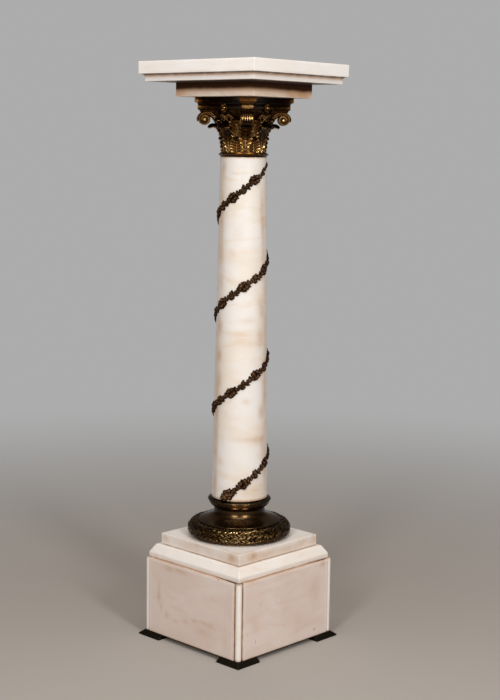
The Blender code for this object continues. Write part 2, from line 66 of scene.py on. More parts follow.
# Sizes that the solids' boxes don't give
TOP_TURN = math.radians(3.9)
SLAB_TURN = math.radians(4.6)
SHAFT_TOP_RADIUS = 0.0435
NECK_RADIUS = 0.0497
LIP_RADIUS = 0.0615
CORNER_CUT = 0.0128
PANEL_THICKNESS = 0.0200
RING_TUBE = 0.0153
FRONT_CORNER = math.radians(-45)

MM = 0.001
FINE_DEPTH = 0.10 * MM

# Colours that the finishes share
# Tan of stains, also used as painted shade on the block and shaft
STAIN_AND_SHADE_TAN = (0.57, 0.345, 0.19)
GRAIN_BROWN = (0.60, 0.51, 0.43)
# Tan and dark brown of dirt, also used as painted shade on the block, the top and the panels
DIRT_AND_SHADE_TAN = (0.47, 0.26, 0.13)
DIRT_AND_SHADE_BROWN = (0.043, 0.014, 0.004)
# White of worn edges, also used as a painted highlight on the panels
WEAR_AND_HIGHLIGHT_WHITE = (0.93, 0.88, 0.83)
BRONZE_GREEN = (0.055, 0.060, 0.030)
BACKDROP_GREY = (0.415, 0.415, 0.415, 1)

SHAFT_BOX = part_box("shaft")
SOCKET_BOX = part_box("shaft_socket")
RING_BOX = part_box("laurel_ring")
chance = np.random.default_rng(7)


# Shapes as arrays

def quads(rows, columns, wrap_columns=False):
    """Corner numbers of the quads of a grid of points, row by row."""
    row = np.arange(rows - 1)[:, None] * columns
    above = row + columns
    column = np.arange(columns if wrap_columns else columns - 1)[None, :]
    beside = (column + 1) % columns
    corners = np.broadcast_arrays(row + column, row + beside, above + beside, above + column)
    return np.stack(corners, -1).reshape(-1, 4)


def points_at(x, y, z):
    """Points from their three coordinates, each a grid or what a grid repeats."""
    return np.stack(np.broadcast_arrays(x, y, z), -1)


def around_axis(radius, angle, height):
    """Points from their distance from the column's axis, their angle about it and their height."""
    return points_at(radius * np.cos(angle), radius * np.sin(angle), height)


def closed_round(points, relief_and_light):
    """A shape from a grid of points that closes round its columns, and its relief."""
    return points, quads(*points.shape[:2], wrap_columns=True), relief_and_light


def ends_of(points):
    """The two end faces of a grid of points that is closed round its columns."""
    rows, columns = points.shape[:2]
    return [range(columns), range((rows - 1) * columns, rows * columns)]


def round_angles(count):
    """Even angles once round a circle."""
    return np.linspace(0, 2 * math.pi, count, endpoint=False)


def turning(angle):
    """The matrix that turns flat points, as rows, by an angle."""
    return np.array([[math.cos(angle), math.sin(angle)], [-math.sin(angle), math.cos(angle)]])


def leaned(x, y, angle):
    """Flat places turned by an angle, or by an array of angles."""
    return x * np.cos(angle) - y * np.sin(angle), x * np.sin(angle) + y * np.cos(angle)


def near(distance, reach):
    """1 at no distance, falling off over the reach."""
    return np.exp(-(distance / reach) ** 2)


def revolved(profile, sides, relief_and_light=0.0):
    """A turned shape: a profile of radius and height carried round the axis."""
    return closed_round(around_axis(profile[:, :1], round_angles(sides), profile[:, 1:]), relief_and_light)


def joined(shapes):
    """Several shapes as one: each is its points, its quads and its relief."""
    points, faces, relief_and_light, count = [], [], [], 0
    for shape_points, shape_faces, shape_relief in shapes:
        points.append(shape_points.reshape(-1, 3))
        faces.append(shape_faces + count)
        relief_and_light.append(np.broadcast_to(shape_relief, shape_points.shape[:-1]).reshape(-1))
        count += len(points[-1])
    return np.concatenate(points), np.concatenate(faces), np.concatenate(relief_and_light)


def turned_copies(shape, angles):
    """A shape repeated at each of the angles about the column's axis."""
    points, faces, relief_and_light = shape
    relief_and_light = np.broadcast_to(relief_and_light, points.shape[:-1]).reshape(-1)
    points = points.reshape(-1, 3)
    x, y = leaned(points[:, 0], points[:, 1], angles[:, None])
    steps = np.arange(len(angles))[:, None, None] * len(points)
    return (points_at(x, y, points[:, 2]).reshape(-1, 3), (faces[None] + steps).reshape(-1, 4),
            np.tile(relief_and_light, len(angles)))


def smooth_line(knots, count):
    """A curve through the knots at even steps: cubic pieces whose slopes are those of their neighbours."""
    knots = np.asarray(knots, float)
    at = np.concatenate([[0.0], np.cumsum(np.linalg.norm(np.diff(knots, axis=0), axis=1))])
    slope = np.gradient(knots, at, axis=0)
    place = np.linspace(0, at[-1], count)
    piece = np.clip(np.searchsorted(at, place, side="right") - 1, 0, len(at) - 2)
    length = (at[piece + 1] - at[piece])[:, None]
    share = (place - at[piece])[:, None] / length
    square, cube = share ** 2, share ** 3
    return ((2 * cube - 3 * square + 1) * knots[piece] + (cube - 2 * square + share) * length * slope[piece]
            + (3 * square - 2 * cube) * knots[piece + 1] + (cube - square) * length * slope[piece + 1])


def side_normals(line):
    """Unit vectors at right angles to a flat curve, to the right of its direction."""
    along = np.gradient(line, axis=0)
    along /= np.linalg.norm(along, axis=1, keepdims=True)
    return np.stack([along[:, 1], -along[:, 0]], -1)


def arc(centre_radius, centre_height, radius, start, end, count):
    """Points of a circular arc from one angle to another, in degrees."""
    angle = np.radians(np.linspace(start, end, count))
    return np.stack([centre_radius + radius * np.cos(angle), centre_height + radius * np.sin(angle)], -1)


def waves(place, length, longest, count):
    """A gentle unevenness that repeats after the length: sine waves of random phase, scaled to about 1."""
    total = np.zeros_like(place)
    first = max(1, round(length / longest))
    for number in range(count):
        turns = first + number * max(1, first // 2)
        total += np.sin(2 * math.pi * turns * place / length + chance.uniform(0, 6.28)) / (1 + 0.5 * number)
    return total / 1.6


# Objects

def outward(mesh):
    """Turns the faces of a closed mesh outwards."""
    shell = bmesh.new()
    shell.from_mesh(mesh)
    bmesh.ops.recalc_face_normals(shell, faces=shell.faces)
    shell.to_mesh(mesh)
    shell.free()


def lay(name, shape, finish, nodes, values=None, caps=(), smooth_deg=40, closed=True):
    """Makes one piece from a shape, gives it its finish and values, and lets it stand for its nodes.

    values holds more values for the finish to read, by name. caps are faces given as lists of corners.
    Edges sharper than smooth_deg stay sharp. A closed mesh has its faces turned outwards, and one that
    isn't closed keeps the way its faces are made.
    """
    points, faces, relief_and_light = shape
    relief_and_light = np.broadcast_to(relief_and_light, points.shape[:-1])
    points = points.reshape(-1, 3)
    mesh = bpy.data.meshes.new(name)
    mesh.from_pydata(points.tolist(), [], faces.tolist() + [list(cap) for cap in caps])
    readings = {"relief_and_light": relief_and_light}
    readings.update(values or {})
    for reading, numbers in readings.items():
        layer = mesh.attributes.new(reading, "FLOAT", "POINT")
        layer.data.foreach_set("value", np.ascontiguousarray(numbers, np.float32).reshape(-1))
    if closed:
        outward(mesh)
    mesh.shade_smooth()
    mesh.set_sharp_from_angle(angle=math.radians(smooth_deg))
    mesh.materials.append(finish)
    piece = bpy.data.objects.new(name, mesh)
    bpy.context.scene.collection.objects.link(piece)
    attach(piece, "root")
    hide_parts(*nodes)
    return piece


# Finishes

class Finish:
    """A material under construction, with short calls for the nodes that it is made of."""

    def __init__(self, name):
        self.material = bpy.data.materials.new(name)
        self.material.use_nodes = True
        self.tree = self.material.node_tree
        self.shader = self.tree.nodes["Principled BSDF"]
        self.place = self.tree.nodes.new("ShaderNodeTexCoord").outputs["Object"]

    def put(self, socket, value):
        """Links a socket to another socket, or sets it to a plain value."""
        if isinstance(value, bpy.types.NodeSocket):
            self.tree.links.new(value, socket)
        else:
            socket.default_value = value

    def noise(self, scale, detail, roughness=0.5, distortion=0.0, stretch=(1, 1, 1), shift=(0, 0, 0)):
        """Cloudy noise of a scale in cells per metre, which may be stretched."""
        mapping = self.tree.nodes.new("ShaderNodeMapping")
        mapping.inputs["Scale"].default_value = stretch
        mapping.inputs["Location"].default_value = shift
        self.put(mapping.inputs["Vector"], self.place)
        node = self.tree.nodes.new("ShaderNodeTexNoise")
        self.put(node.inputs["Vector"], mapping.outputs["Vector"])
        node.inputs["Scale"].default_value = scale
        node.inputs["Detail"].default_value = detail
        node.inputs["Roughness"].default_value = roughness
        node.inputs["Distortion"].default_value = distortion
        return node.outputs["Fac"]

    def value(self, name):
        """A value that the mesh carries."""
        node = self.tree.nodes.new("ShaderNodeAttribute")
        node.attribute_name = name
        return node.outputs["Fac"]

    def spread(self, source, low, high, to_low=0.0, to_high=1.0):
        """The source from low to high, as a share from to_low to to_high with soft ends."""
        node = self.tree.nodes.new("ShaderNodeMapRange")
        node.interpolation_type = "SMOOTHSTEP"
        self.put(node.inputs["Value"], source)
        for name, number in (("From Min", low), ("From Max", high), ("To Min", to_low), ("To Max", to_high)):
            node.inputs[name].default_value = number
        return node.outputs["Result"]

    def reckon(self, kind, first, second, third=0.0):
        """Arithmetic of the named kind on two or three values, such as MULTIPLY or MULTIPLY_ADD."""
        node = self.tree.nodes.new("ShaderNodeMath")
        node.operation = kind
        for socket, number in zip(node.inputs, (first, second, third)):
            self.put(socket, number)
        return node.outputs["Value"]

    def mix(self, share, first, second):
        """From the first colour to the second, by a share from 0 to 1."""
        node = self.tree.nodes.new("ShaderNodeMix")
        node.data_type = "RGBA"
        self.put(node.inputs["Factor"], share)
        for socket, colour in ((node.inputs["A"], first), (node.inputs["B"], second)):
            self.put(socket, colour if isinstance(colour, bpy.types.NodeSocket) else (*colour, 1.0))
        return node.outputs["Result"]

    def bump(self, height):
        """Fine unevenness of the surface."""
        node = self.tree.nodes.new("ShaderNodeBump")
        node.inputs["Distance"].default_value = FINE_DEPTH
        self.put(node.inputs["Height"], height)
        self.put(self.shader.inputs["Normal"], node.outputs["Normal"])


def marble(name, light, cloud, stain, stain_amount, shift, patchy=0.45, shine=0.28):
    """Polished old marble: soft clouds and wisps that lie level, tan blots, and brown dirt where pieces meet.
    On some pieces the tan and the browns also paint shade, and the white of worn edges also paints a
    highlight.

    shift moves the clouds so that no two kinds of piece have the same ones. patchy is how unevenly the
    dirt and the painted shade lie.
    """
    finish = Finish(name)
    clouds = finish.spread(finish.noise(8, 3, 0.5, 0.6, (1, 1, 1.8), shift), 0.36, 0.66)
    colour = finish.mix(clouds, light, cloud)
    wisp_shift = (shift[1], shift[2], shift[0])
    wisps = finish.spread(finish.noise(11, 4, 0.58, 1.2, (1, 1, 3.2), wisp_shift), 0.50, 0.78)
    colour = finish.mix(finish.reckon("MULTIPLY", wisps, stain_amount), colour, stain)
    # Tan blots: stains, and on the block and shaft also painted shade
    broken = finish.spread(finish.noise(55, 4, 0.6), 0.25, 0.65, 0.55)
    stains_and_shade = finish.reckon("MULTIPLY", finish.value("blot"), broken)
    colour = finish.mix(stains_and_shade, colour, STAIN_AND_SHADE_TAN)
    grain = finish.noise(420, 2)
    colour = finish.mix(finish.spread(grain, 0.35, 0.75, 0.0, 0.08), colour, GRAIN_BROWN)
    # Tan, then dark brown: dirt where pieces meet, and painted shade on the block's upper half, in the top's
    # cove and under it, and at the panels' foot
    patches = finish.spread(finish.noise(60, 4, 0.6), 0.25, 0.60, 1 - patchy)
    dirt_and_shade_share = finish.reckon("MULTIPLY", finish.value("grime"), patches)
    tan = finish.spread(dirt_and_shade_share, 0.0, 0.45)
    colour = finish.mix(finish.reckon("MULTIPLY", tan, 0.75), colour, DIRT_AND_SHADE_TAN)
    colour = finish.mix(finish.spread(dirt_and_shade_share, 0.35, 0.95), colour, DIRT_AND_SHADE_BROWN)
    # White on worn edges, and a painted highlight along the panels' ends and top
    colour = finish.mix(finish.reckon("MULTIPLY", finish.value("worn"), 0.45), colour, WEAR_AND_HIGHLIGHT_WHITE)
    finish.put(finish.shader.inputs["Base Color"], colour)
    finish.put(finish.shader.inputs["Roughness"], finish.spread(finish.noise(30, 4), 0.3, 0.7, 0.34, 0.50))
    finish.shader.inputs["Specular IOR Level"].default_value = shine
    finish.bump(finish.reckon("ADD", finish.noise(150, 3), finish.noise(25, 2)))
    return finish.material


def bronze(name, hollow, body, rub_and_painted_light, gold_start, gold_end, roughness, uneven=0.22):
    """Cast bronze: dark in the hollows, brown on the body, and rubbed to gold on the high parts.

    The gold comes in between two values of the relief, which noise makes uneven. On some pieces the relief
    also holds painted highlight, which turns to gold, and painted shade, which turns dark.
    """
    finish = Finish(name)
    jitter = finish.reckon("MULTIPLY_ADD", finish.noise(240, 3, 0.6), uneven, -uneven / 2)
    height = finish.reckon("ADD", finish.value("relief_and_light"), jitter)
    colour = finish.mix(finish.spread(height, 0.10, 0.50), hollow, body)
    broad = finish.spread(finish.noise(34, 3, 0.6), 0.32, 0.62, 0.35, 1.0)
    # Gold on rubbed high parts, and where a highlight is painted into the relief
    gold_share = finish.reckon("MULTIPLY", finish.spread(height, gold_start, gold_end), broad)
    colour = finish.mix(gold_share, colour, rub_and_painted_light)
    green = finish.spread(finish.noise(70, 4, 0.6), 0.58, 0.74, 0.0, 0.35)
    colour = finish.mix(green, colour, BRONZE_GREEN)
    finish.put(finish.shader.inputs["Base Color"], colour)
    finish.shader.inputs["Metallic"].default_value = 1.0
    rough = finish.reckon("MULTIPLY_ADD", finish.noise(160, 3), 0.22, roughness - 0.11)
    finish.put(finish.shader.inputs["Roughness"], finish.reckon("MULTIPLY_ADD", gold_share, -0.10, rough))
    finish.bump(finish.noise(300, 3))
    return finish.material


# Marble: its light, its clouds, its stain and how much of that, the shift, and how patchy and shiny it is
TOP_MARBLE = marble("top_marble", (0.88, 0.85, 0.82), (0.86, 0.81, 0.76), (0.74, 0.60, 0.48),
                    0.18, (0, 0, 0), 0.25)
BLOCK_MARBLE = marble("block_marble", (0.83, 0.72, 0.62), (0.76, 0.62, 0.50), (0.56, 0.36, 0.22),
                      0.35, (1, 0, 0), 0.08, 0.08)
SHAFT_MARBLE = marble("shaft_marble", (0.83, 0.795, 0.76), (0.80, 0.725, 0.635), (0.74, 0.56, 0.37),
                      0.58, (3, 1, 5))
SLAB_MARBLE = marble("slab_marble", (0.86, 0.82, 0.78), (0.83, 0.765, 0.705), (0.70, 0.52, 0.38),
                     0.36, (2, 5, 1))
PANEL_MARBLE = marble("panel_marble", (0.80, 0.69, 0.635), (0.755, 0.63, 0.565), (0.66, 0.47, 0.35),
                      0.42, (4, 2, 9))

# Bronze: its hollows, its body and its gold, where the gold comes in, the roughness and the unevenness
CAPITAL_BRONZE = bronze("capital_bronze", (0.010, 0.004, 0.0015), (0.148, 0.064, 0.017),
                        (0.95, 0.62, 0.24), 0.50, 0.92, 0.33, 0.50)
RING_BRONZE = bronze("ring_bronze", (0.006, 0.0035, 0.002), (0.070, 0.038, 0.013),
                     (0.80, 0.57, 0.26), 0.58, 1.00, 0.33, 0.35)
SOCKET_BRONZE = bronze("socket_bronze", (0.012, 0.007, 0.003), (0.105, 0.062, 0.028),
                       (0.72, 0.52, 0.30), 0.66, 0.98, 0.27)
GARLAND_BRONZE = bronze("garland_bronze", (0.005, 0.0025, 0.0012), (0.046, 0.022, 0.011),
                        (0.27, 0.145, 0.075), 0.62, 1.02, 0.42, 0.35)
FOOT_BRONZE = bronze("foot_bronze", (0.010, 0.009, 0.007), (0.026, 0.022, 0.014),
                     (0.10, 0.075, 0.04), 0.80, 1.10, 0.45)


# Marble pieces

CORNERS = ("front_right", "back_right", "back_left", "front_left")
# Points along each side of a square piece, and round each of its corners
SIDE_POINTS, CORNER_POINTS = 97, 4
# How far a square piece's edges are rounded off, and how far worn in
EDGE_ROUND = 0.8 * MM
EDGE_WEAR = 0.25 * MM
# How far its top and underside reach in towards the axis, as a share of its half side
FACE_REACH = 0.3


def square_outline():
    """A square that reaches 1 from its middle, with room for round corners: points and outward normals.

    On a side, the normal is the side's own. At a corner the point stays and the normal turns a quarter.
    """
    along = np.linspace(-1, 1, SIDE_POINTS)
    quarter = np.linspace(0, math.pi / 2, CORNER_POINTS + 2)[1:-1]
    points = np.concatenate([np.stack([np.ones_like(along), along], -1), np.ones((CORNER_POINTS, 2))])
    normals = np.concatenate([np.repeat([[1.0, 0.0]], SIDE_POINTS, 0),
                              np.stack([np.cos(quarter), np.sin(quarter)], -1)])
    turns = [turning(side * math.pi / 2) for side in range(4)]
    return (np.concatenate([points @ turn for turn in turns]),
            np.concatenate([normals @ turn for turn in turns]))


def softened(levels):
    """A profile of half side and height whose corners are rounded off, and how sharp each point's corner is.

    A corner is four points of a curve that takes at most a third of the shorter edge beside it. Points
    are added close beside it.
    """
    levels = np.asarray(levels, float)
    points, sharp = [levels[0]], [1.0]

    def run_to(end):
        length = np.linalg.norm(end - points[-1])
        if length > 3 * MM:
            start, edge = points[-1], 1.2 * MM / length
            for share in np.linspace(edge, 1 - edge, 2 + int(length / (4 * MM))):
                points.append(start + share * (end - start))
                sharp.append(0.0)

    for before, corner, after in zip(levels, levels[1:], levels[2:]):
        back, ahead = before - corner, after - corner
        back_length, ahead_length = np.linalg.norm(back), np.linalg.norm(ahead)
        reach = min(EDGE_ROUND, back_length / 3, ahead_length / 3)
        start, end = corner + back / back_length * reach, corner + ahead / ahead_length * reach
        turn = abs(back[0] * ahead[1] - back[1] * ahead[0]) / (back_length * ahead_length)
        run_to(start)
        for share in np.linspace(0, 1, 4):
            points.append((1 - share) ** 2 * start + 2 * share * (1 - share) * corner + share ** 2 * end)
            sharp.append(turn)
    run_to(levels[-1])
    points.append(levels[-1])
    sharp.append(1.0)
    return np.array(points), np.array(sharp)


def square_piece(name, levels, finish, nodes, foot, grime, stains_and_shade, turn=0.0, corner=1.0 * MM, chips=(),
                 dark_patches=()):
    """A square marble piece: the square outline carried up the profile, its edges a little uneven.

    The function of dirt and shade gives dirt, and on some pieces painted shade, from the half side and height
    of each level. chips are (side, place along it from -1 to 1, height, width, depth). Blots are tan stains,
    and specks are small spots of dirt; on the block, those near the ends of its faces are broad painted shade
    instead. The unevenness is counted in lengths round the innermost square, so it is longer at the edge.
    """
    profile, sharp = softened(levels)
    core, normal = square_outline()
    length = 8 * levels[0][0]
    around = np.linspace(0, length, len(core), endpoint=False)
    wear = sharp[:, None] * EDGE_WEAR
    uneven = waves(around, length, 50 * MM, 5) * wear + waves(around, length, 12 * MM, 4) * wear / 2
    half = profile[:, :1] - corner - np.abs(uneven)
    flat = core[None] * half[..., None] + normal[None] * corner
    along = np.linspace(-1, 1, SIDE_POINTS)
    for side, place, level, width, depth in chips:
        first = side * (SIDE_POINTS + CORNER_POINTS)
        here = slice(first, first + SIDE_POINTS)
        dip = near(along[None] - place, width / levels[1][0]) * near(profile[:, 1:] - level, width)
        flat[:, here] -= normal[here][None] * (dip * depth)[..., None]
    flat = flat @ turning(turn)
    points = points_at(flat[..., 0], flat[..., 1], profile[:, 1:] + foot)
    dirt_and_shade_share = grime(profile[:, 0], profile[:, 1])
    values = {"grime": dirt_and_shade_share[:, None] + mark_amounts(points, dark_patches), "worn": np.repeat(sharp * 0.3, len(core)),
              "blot": mark_amounts(points, stains_and_shade)}
    lay(name, closed_round(points, 0.0), finish, nodes, values, ends_of(points))


def mark_amounts(points, stains_and_shade):
    """How much each point is marked by a list of blots: stains, dirt, and on some pieces painted shade. A
    blot is its place, as degrees from the front corner, millimetres from the axis and above the floor, then
    its reach level and upright in millimetres, and its strength."""
    total = np.zeros(points.shape[:-1])
    for turn, radius, height, wide, tall, strength in stains_and_shade:
        angle = FRONT_CORNER + math.radians(turn)
        aside = np.hypot(points[..., 0] - radius * MM * math.cos(angle),
                         points[..., 1] - radius * MM * math.sin(angle))
        total += strength * near(aside, wide * MM) * near(points[..., 2] - height * MM, tall * MM)
    return np.minimum(total, 1)


def slab_levels(half, *edge):
    """A square slab's profile: its edge, between faces that reach in towards the axis."""
    return [(half * FACE_REACH, edge[0][1]), *edge, (half * FACE_REACH, edge[-1][1])]


def half_in_box(high, turn):
    """Half the side of a square that is turned in its box, from the box's high corner."""
    return high.x / (math.cos(turn) + math.sin(turn))


def make_top():
    """The square top: a flat band over a cove and a small fillet."""
    low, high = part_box("top_slab")
    half = half_in_box(high, SLAB_TURN)
    fillet, cove, step = 7.5 * MM, 6.0 * MM, 2.4 * MM
    height = high.z - low.z
    curve = arc(half - step, fillet, cove, 180, 90, 7)
    levels = slab_levels(half, (half - step - cove, 0.0), *curve, (half, fillet + cove), (half, height))

    # Painted shade: dark brown in the cove under the band, and on the top's underside
    def grime(side, level):
        in_cove = 0.80 * near(level - fillet - cove, 5.6 * MM) * (side < half - 0.5 * MM)
        return in_cove + 0.8 * (side < half - step - cove - 2 * MM) * (level < 1 * MM)

    square_piece("marble_top", levels, TOP_MARBLE, ["top_slab"], low.z, grime,
                 stains_and_shade=((0, 196, 1089, 9, 4, 0.7), (38, 150, 1090, 30, 3, 0.3), (-40, 150, 1090, 40, 3, 0.3)),
                 turn=SLAB_TURN, corner=0.25 * MM)


def make_block():
    """The plain block under the top. Its upper half is dark brown, the painted shadow of the top's overhang
    over some dirt, and the ends of its faces are painted browner as shade.
    """
    low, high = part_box("top_block")
    half, height = half_in_box(high, TOP_TURN), high.z - low.z

    # Painted shadow of the top: dark brown over the upper half, fading out below it
    def grime(side, level):
        return 1.05 / (1 + np.exp((0.455 * height - level) / (0.085 * height)))

    # The blots from 66° to 87° and the specks from 60° to 84° either side of the front corner are painted
    # shade at the ends of the faces; the rest are tan stains and dirt
    square_piece("marble_block", slab_levels(half, (half, 0), (half, height)),
                 BLOCK_MARBLE, ["top_block"], low.z, grime,
                 stains_and_shade=((24, 96, 1052, 40, 8, 0.35), (72, 101, 1056, 26, 14, 0.95),
                        (87, 124, 1056, 24, 16, 0.7), (-85, 124, 1056, 22, 14, 0.85),
                        (-66, 100, 1052, 34, 7, 0.3), (4, 128, 1060, 5, 10, 0.5),
                        (150, 100, 1055, 60, 9, 0.4)),
                 turn=TOP_TURN, corner=0.5 * MM,
                 dark_patches=((60, 95, 1055, 26, 14, 0.16), (82, 118, 1055, 22, 16, 0.30),
                         (-84, 122, 1056, 20, 12, 0.14), (-30, 98, 1058, 60, 8, 0.06)))


def make_cap():
    """The cap of the plinth, with its sloped edge."""
    low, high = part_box("plinth_cap")
    half, height, band, run = high.x, high.z - low.z, 9.0 * MM, 9.8 * MM
    step_half = 107.5 * MM

    def grime(side, level):
        by_step = near(side - step_half, 1.5 * MM) * (level > height - 2 * MM)
        return 0.6 * near(level, 0.8 * MM) + 0.6 * by_step

    square_piece("marble_plinth_cap", slab_levels(half, (half, 0), (half, band), (half - run, height)),
                 SLAB_MARBLE, ["plinth_cap"], low.z, grime,
                 stains_and_shade=((-32, 128, 159, 46, 4, 0.5), (2, 168, 160, 12, 4, 0.8), (36, 126, 159, 46, 4, 0.5),
                        (-72, 146, 159, 30, 4, 0.5), (76, 144, 159, 30, 4, 0.5)),
                 chips=((3, -0.72, band, 4 * MM, 0.8 * MM),))


def make_step():
    """The plain step on the cap."""
    low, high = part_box("plinth_step")
    half, height = high.x, high.z - low.z

    def grime(side, level):
        return 0.85 * near(level, 1.3 * MM)

    square_piece("marble_plinth_step", slab_levels(half, (half, 0), (half, height)),
                 SLAB_MARBLE, ["plinth_step"], low.z, grime,
                 stains_and_shade=((-45, 107.6, 193, 130, 9, 0.22), (45, 107.6, 193, 130, 9, 0.46),
                        (-6, 141, 200, 11, 6, 0.50), (-7, 140, 193, 14, 8, 0.30), (11, 130, 200, 9, 8, 0.45),
                        (6, 138, 204, 18, 4, 0.40), (16, 127, 196, 18, 8, 0.25), (-47, 108, 202, 34, 5, 0.40),
                        (-87, 144, 199, 10, 8, 0.4), (88, 148, 199, 8, 9, 0.7), (77, 128, 200, 16, 6, 0.3),
                        (-14, 128, 206, 14, 2, 0.35), (-4, 141, 206, 8, 2, 0.35)),
                 dark_patches=((40.5, 110.3, 205.9, 1.6, 1.5, 0.9),))


PANEL_BLOTS = ((-57, 133, 150, 22, 5, 0.55), (-70, 143, 148, 14, 5, 0.5), (-79, 158, 100, 5, 16, 0.3),
               (-79.6, 158, 84.5, 4, 11, 0.4), (-77.4, 154, 66, 4, 10, 0.4), (-72, 146, 54, 7, 7, 0.4),
               (-62.5, 136.5, 47, 9, 4, 0.4), (-50.6, 131, 53, 10, 4, 0.35), (-40, 131, 61, 9, 3.5, 0.5),
               (-29.7, 135, 63, 12, 4, 0.5), (-21.7, 142, 62, 8, 6, 0.4), (-30, 135, 45, 22, 12, 0.3),
               (-8, 160, 40, 10, 18, 0.3), (9.4, 160, 157, 16, 4, 0.6), (41, 130, 155, 40, 3.5, 0.4),
               (83, 166, 153, 9, 7, 0.6), (77, 154, 99, 16, 40, 0.35), (60, 138, 60, 26, 30, 0.25),
               (12, 155, 70, 10, 14, 0.3), (140, 140, 90, 40, 12, 0.4), (215, 140, 60, 30, 14, 0.4))
PANEL_SPECKS = ((76.9, 153.3, 24.1, 3.4, 1.4, 0.75), (12.1, 155.1, 39.1, 1.3, 4.5, 0.45),
                (16.3, 148.3, 109, 2.0, 3.5, 0.25), (5.7, 168, 59, 2.0, 3.0, 0.3),
                (-15.1, 150.2, 156.6, 1.6, 1.6, 0.9), (-9, 160, 66, 1.6, 3.0, 0.25))


def make_panels():
    """The four panels of the box: a cut-cornered, mitred outline carried up, with softened edges."""
    low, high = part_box("plinth_panel_front")
    face, end, height = low.y, high.x, high.z - low.z
    cut, back = face + CORNER_CUT - 0.2 * MM, face + PANEL_THICKNESS
    mitre, round_off = -back - 0.2 * MM, 1.2 * MM
    front = np.linspace(-end, end, 120)
    edge = np.array([0.0, 0.25, 0.7, 1.2]) * MM
    outline = [(-end, y) for y in np.linspace(cut, face + round_off, 5)]
    outline += [(-end + step * 0.6, face + round_off - step) for step in edge[1:]]
    outline += [(x, face) for x in front[1:-1]]
    outline += [(end - (round_off - step) * 0.6, face + step) for step in edge[:-1]]
    outline += [(end, y) for y in np.linspace(face + round_off, cut, 5)]
    outline += [(mitre, back), (-mitre, back)]
    outline = np.array(outline)
    foot_rise = np.array([0, 0.4, 1.2]) * MM
    rise = np.concatenate([foot_rise, np.linspace(3 * MM, height - 3 * MM, 60), height - foot_rise[::-1]])
    from_end = np.minimum(rise, height - rise)
    inset = 0.7 * MM * np.clip(1 - from_end / round_off, 0, 1) ** 2
    uneven = np.abs(waves(outline[:, 0] + end, 2 * end + 100 * MM, 30 * MM, 5))
    inset = inset[:, None] + 0.10 * MM * near(from_end, 1.5 * MM)[:, None] * uneven[None]
    y = np.maximum(outline[None, :, 1], face + inset)
    points = points_at(outline[:, 0], y, rise[:, None] + low.z)
    to_end = end - np.abs(points[..., 0])
    on_face = points[..., 1] < face + 1.0 * MM
    grime = 0.36 * near(from_end, 1.2 * MM)[:, None] + 0.26 * near(to_end, 1.4 * MM) + 0.34 * ~on_face
    # Painted shade: a little darker towards the foot of the panels
    grime = grime + 0.08 * near(rise, 14 * MM)[:, None]
    # Painted highlight: pale lines a little in from the panels' ends and under their top
    worn = near(to_end - 3.4 * MM, 1.3 * MM) * 0.9 + near(height - rise[:, None] - 3.0 * MM, 1.6 * MM) * 0.8
    shape = closed_round(points, 0.0)
    for number, side in enumerate(("front", "right", "back", "left")):
        placed = turned_copies(shape, np.array([number * math.pi / 2]))
        dirt_and_shade_share = np.clip(grime.reshape(-1) + mark_amounts(placed[0], PANEL_SPECKS), 0, 1)
        values = {"grime": dirt_and_shade_share, "worn": np.clip(worn, 0, 1), "blot": mark_amounts(placed[0], PANEL_BLOTS)}
        lay("marble_panel_" + side, placed, PANEL_MARBLE, ["plinth_panel_" + side], values,
            ends_of(points))


def make_beads():
    """The round marble rods in the corners of the box, dirty at their ends and darker on the side towards the
    box.
    """
    sides = 28
    angle = round_angles(sides)
    for corner in CORNERS:
        low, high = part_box("corner_bead_" + corner)
        centre = (low + high) / 2
        radius, height = (high.x - low.x) / 2, high.z - low.z
        foot_rise = np.array([0, 0.6, 2, 6]) * MM
        rise = np.concatenate([foot_rise, np.linspace(12 * MM, height - 12 * MM, 20),
                               height - foot_rise[::-1]])
        from_end = np.minimum(rise, height - rise)
        profile = np.stack([radius - 0.5 * MM * near(from_end, 0.5 * MM), rise], -1)
        points, faces, relief_and_light = revolved(profile, sides)
        inward = math.atan2(-centre.y, -centre.x)
        grime = 0.7 * near(from_end, 2.0 * MM)[:, None] + 0.6 * np.clip(np.cos(angle - inward), 0, 1)[None]
        points = points + np.array([centre.x, centre.y, low.z])
        lay("marble_bead_" + corner, (points, faces, relief_and_light), SLAB_MARBLE,
            ["corner_bead_" + corner], {"grime": grime, "worn": np.full_like(grime, 0.5)}, ends_of(points))


def shaft_radius(height):
    """The tapered shaft's radius at a height from the floor."""
    low, high = SHAFT_BOX
    return high.x + (SHAFT_TOP_RADIUS - high.x) * (height - low.z) / (high.z - low.z)


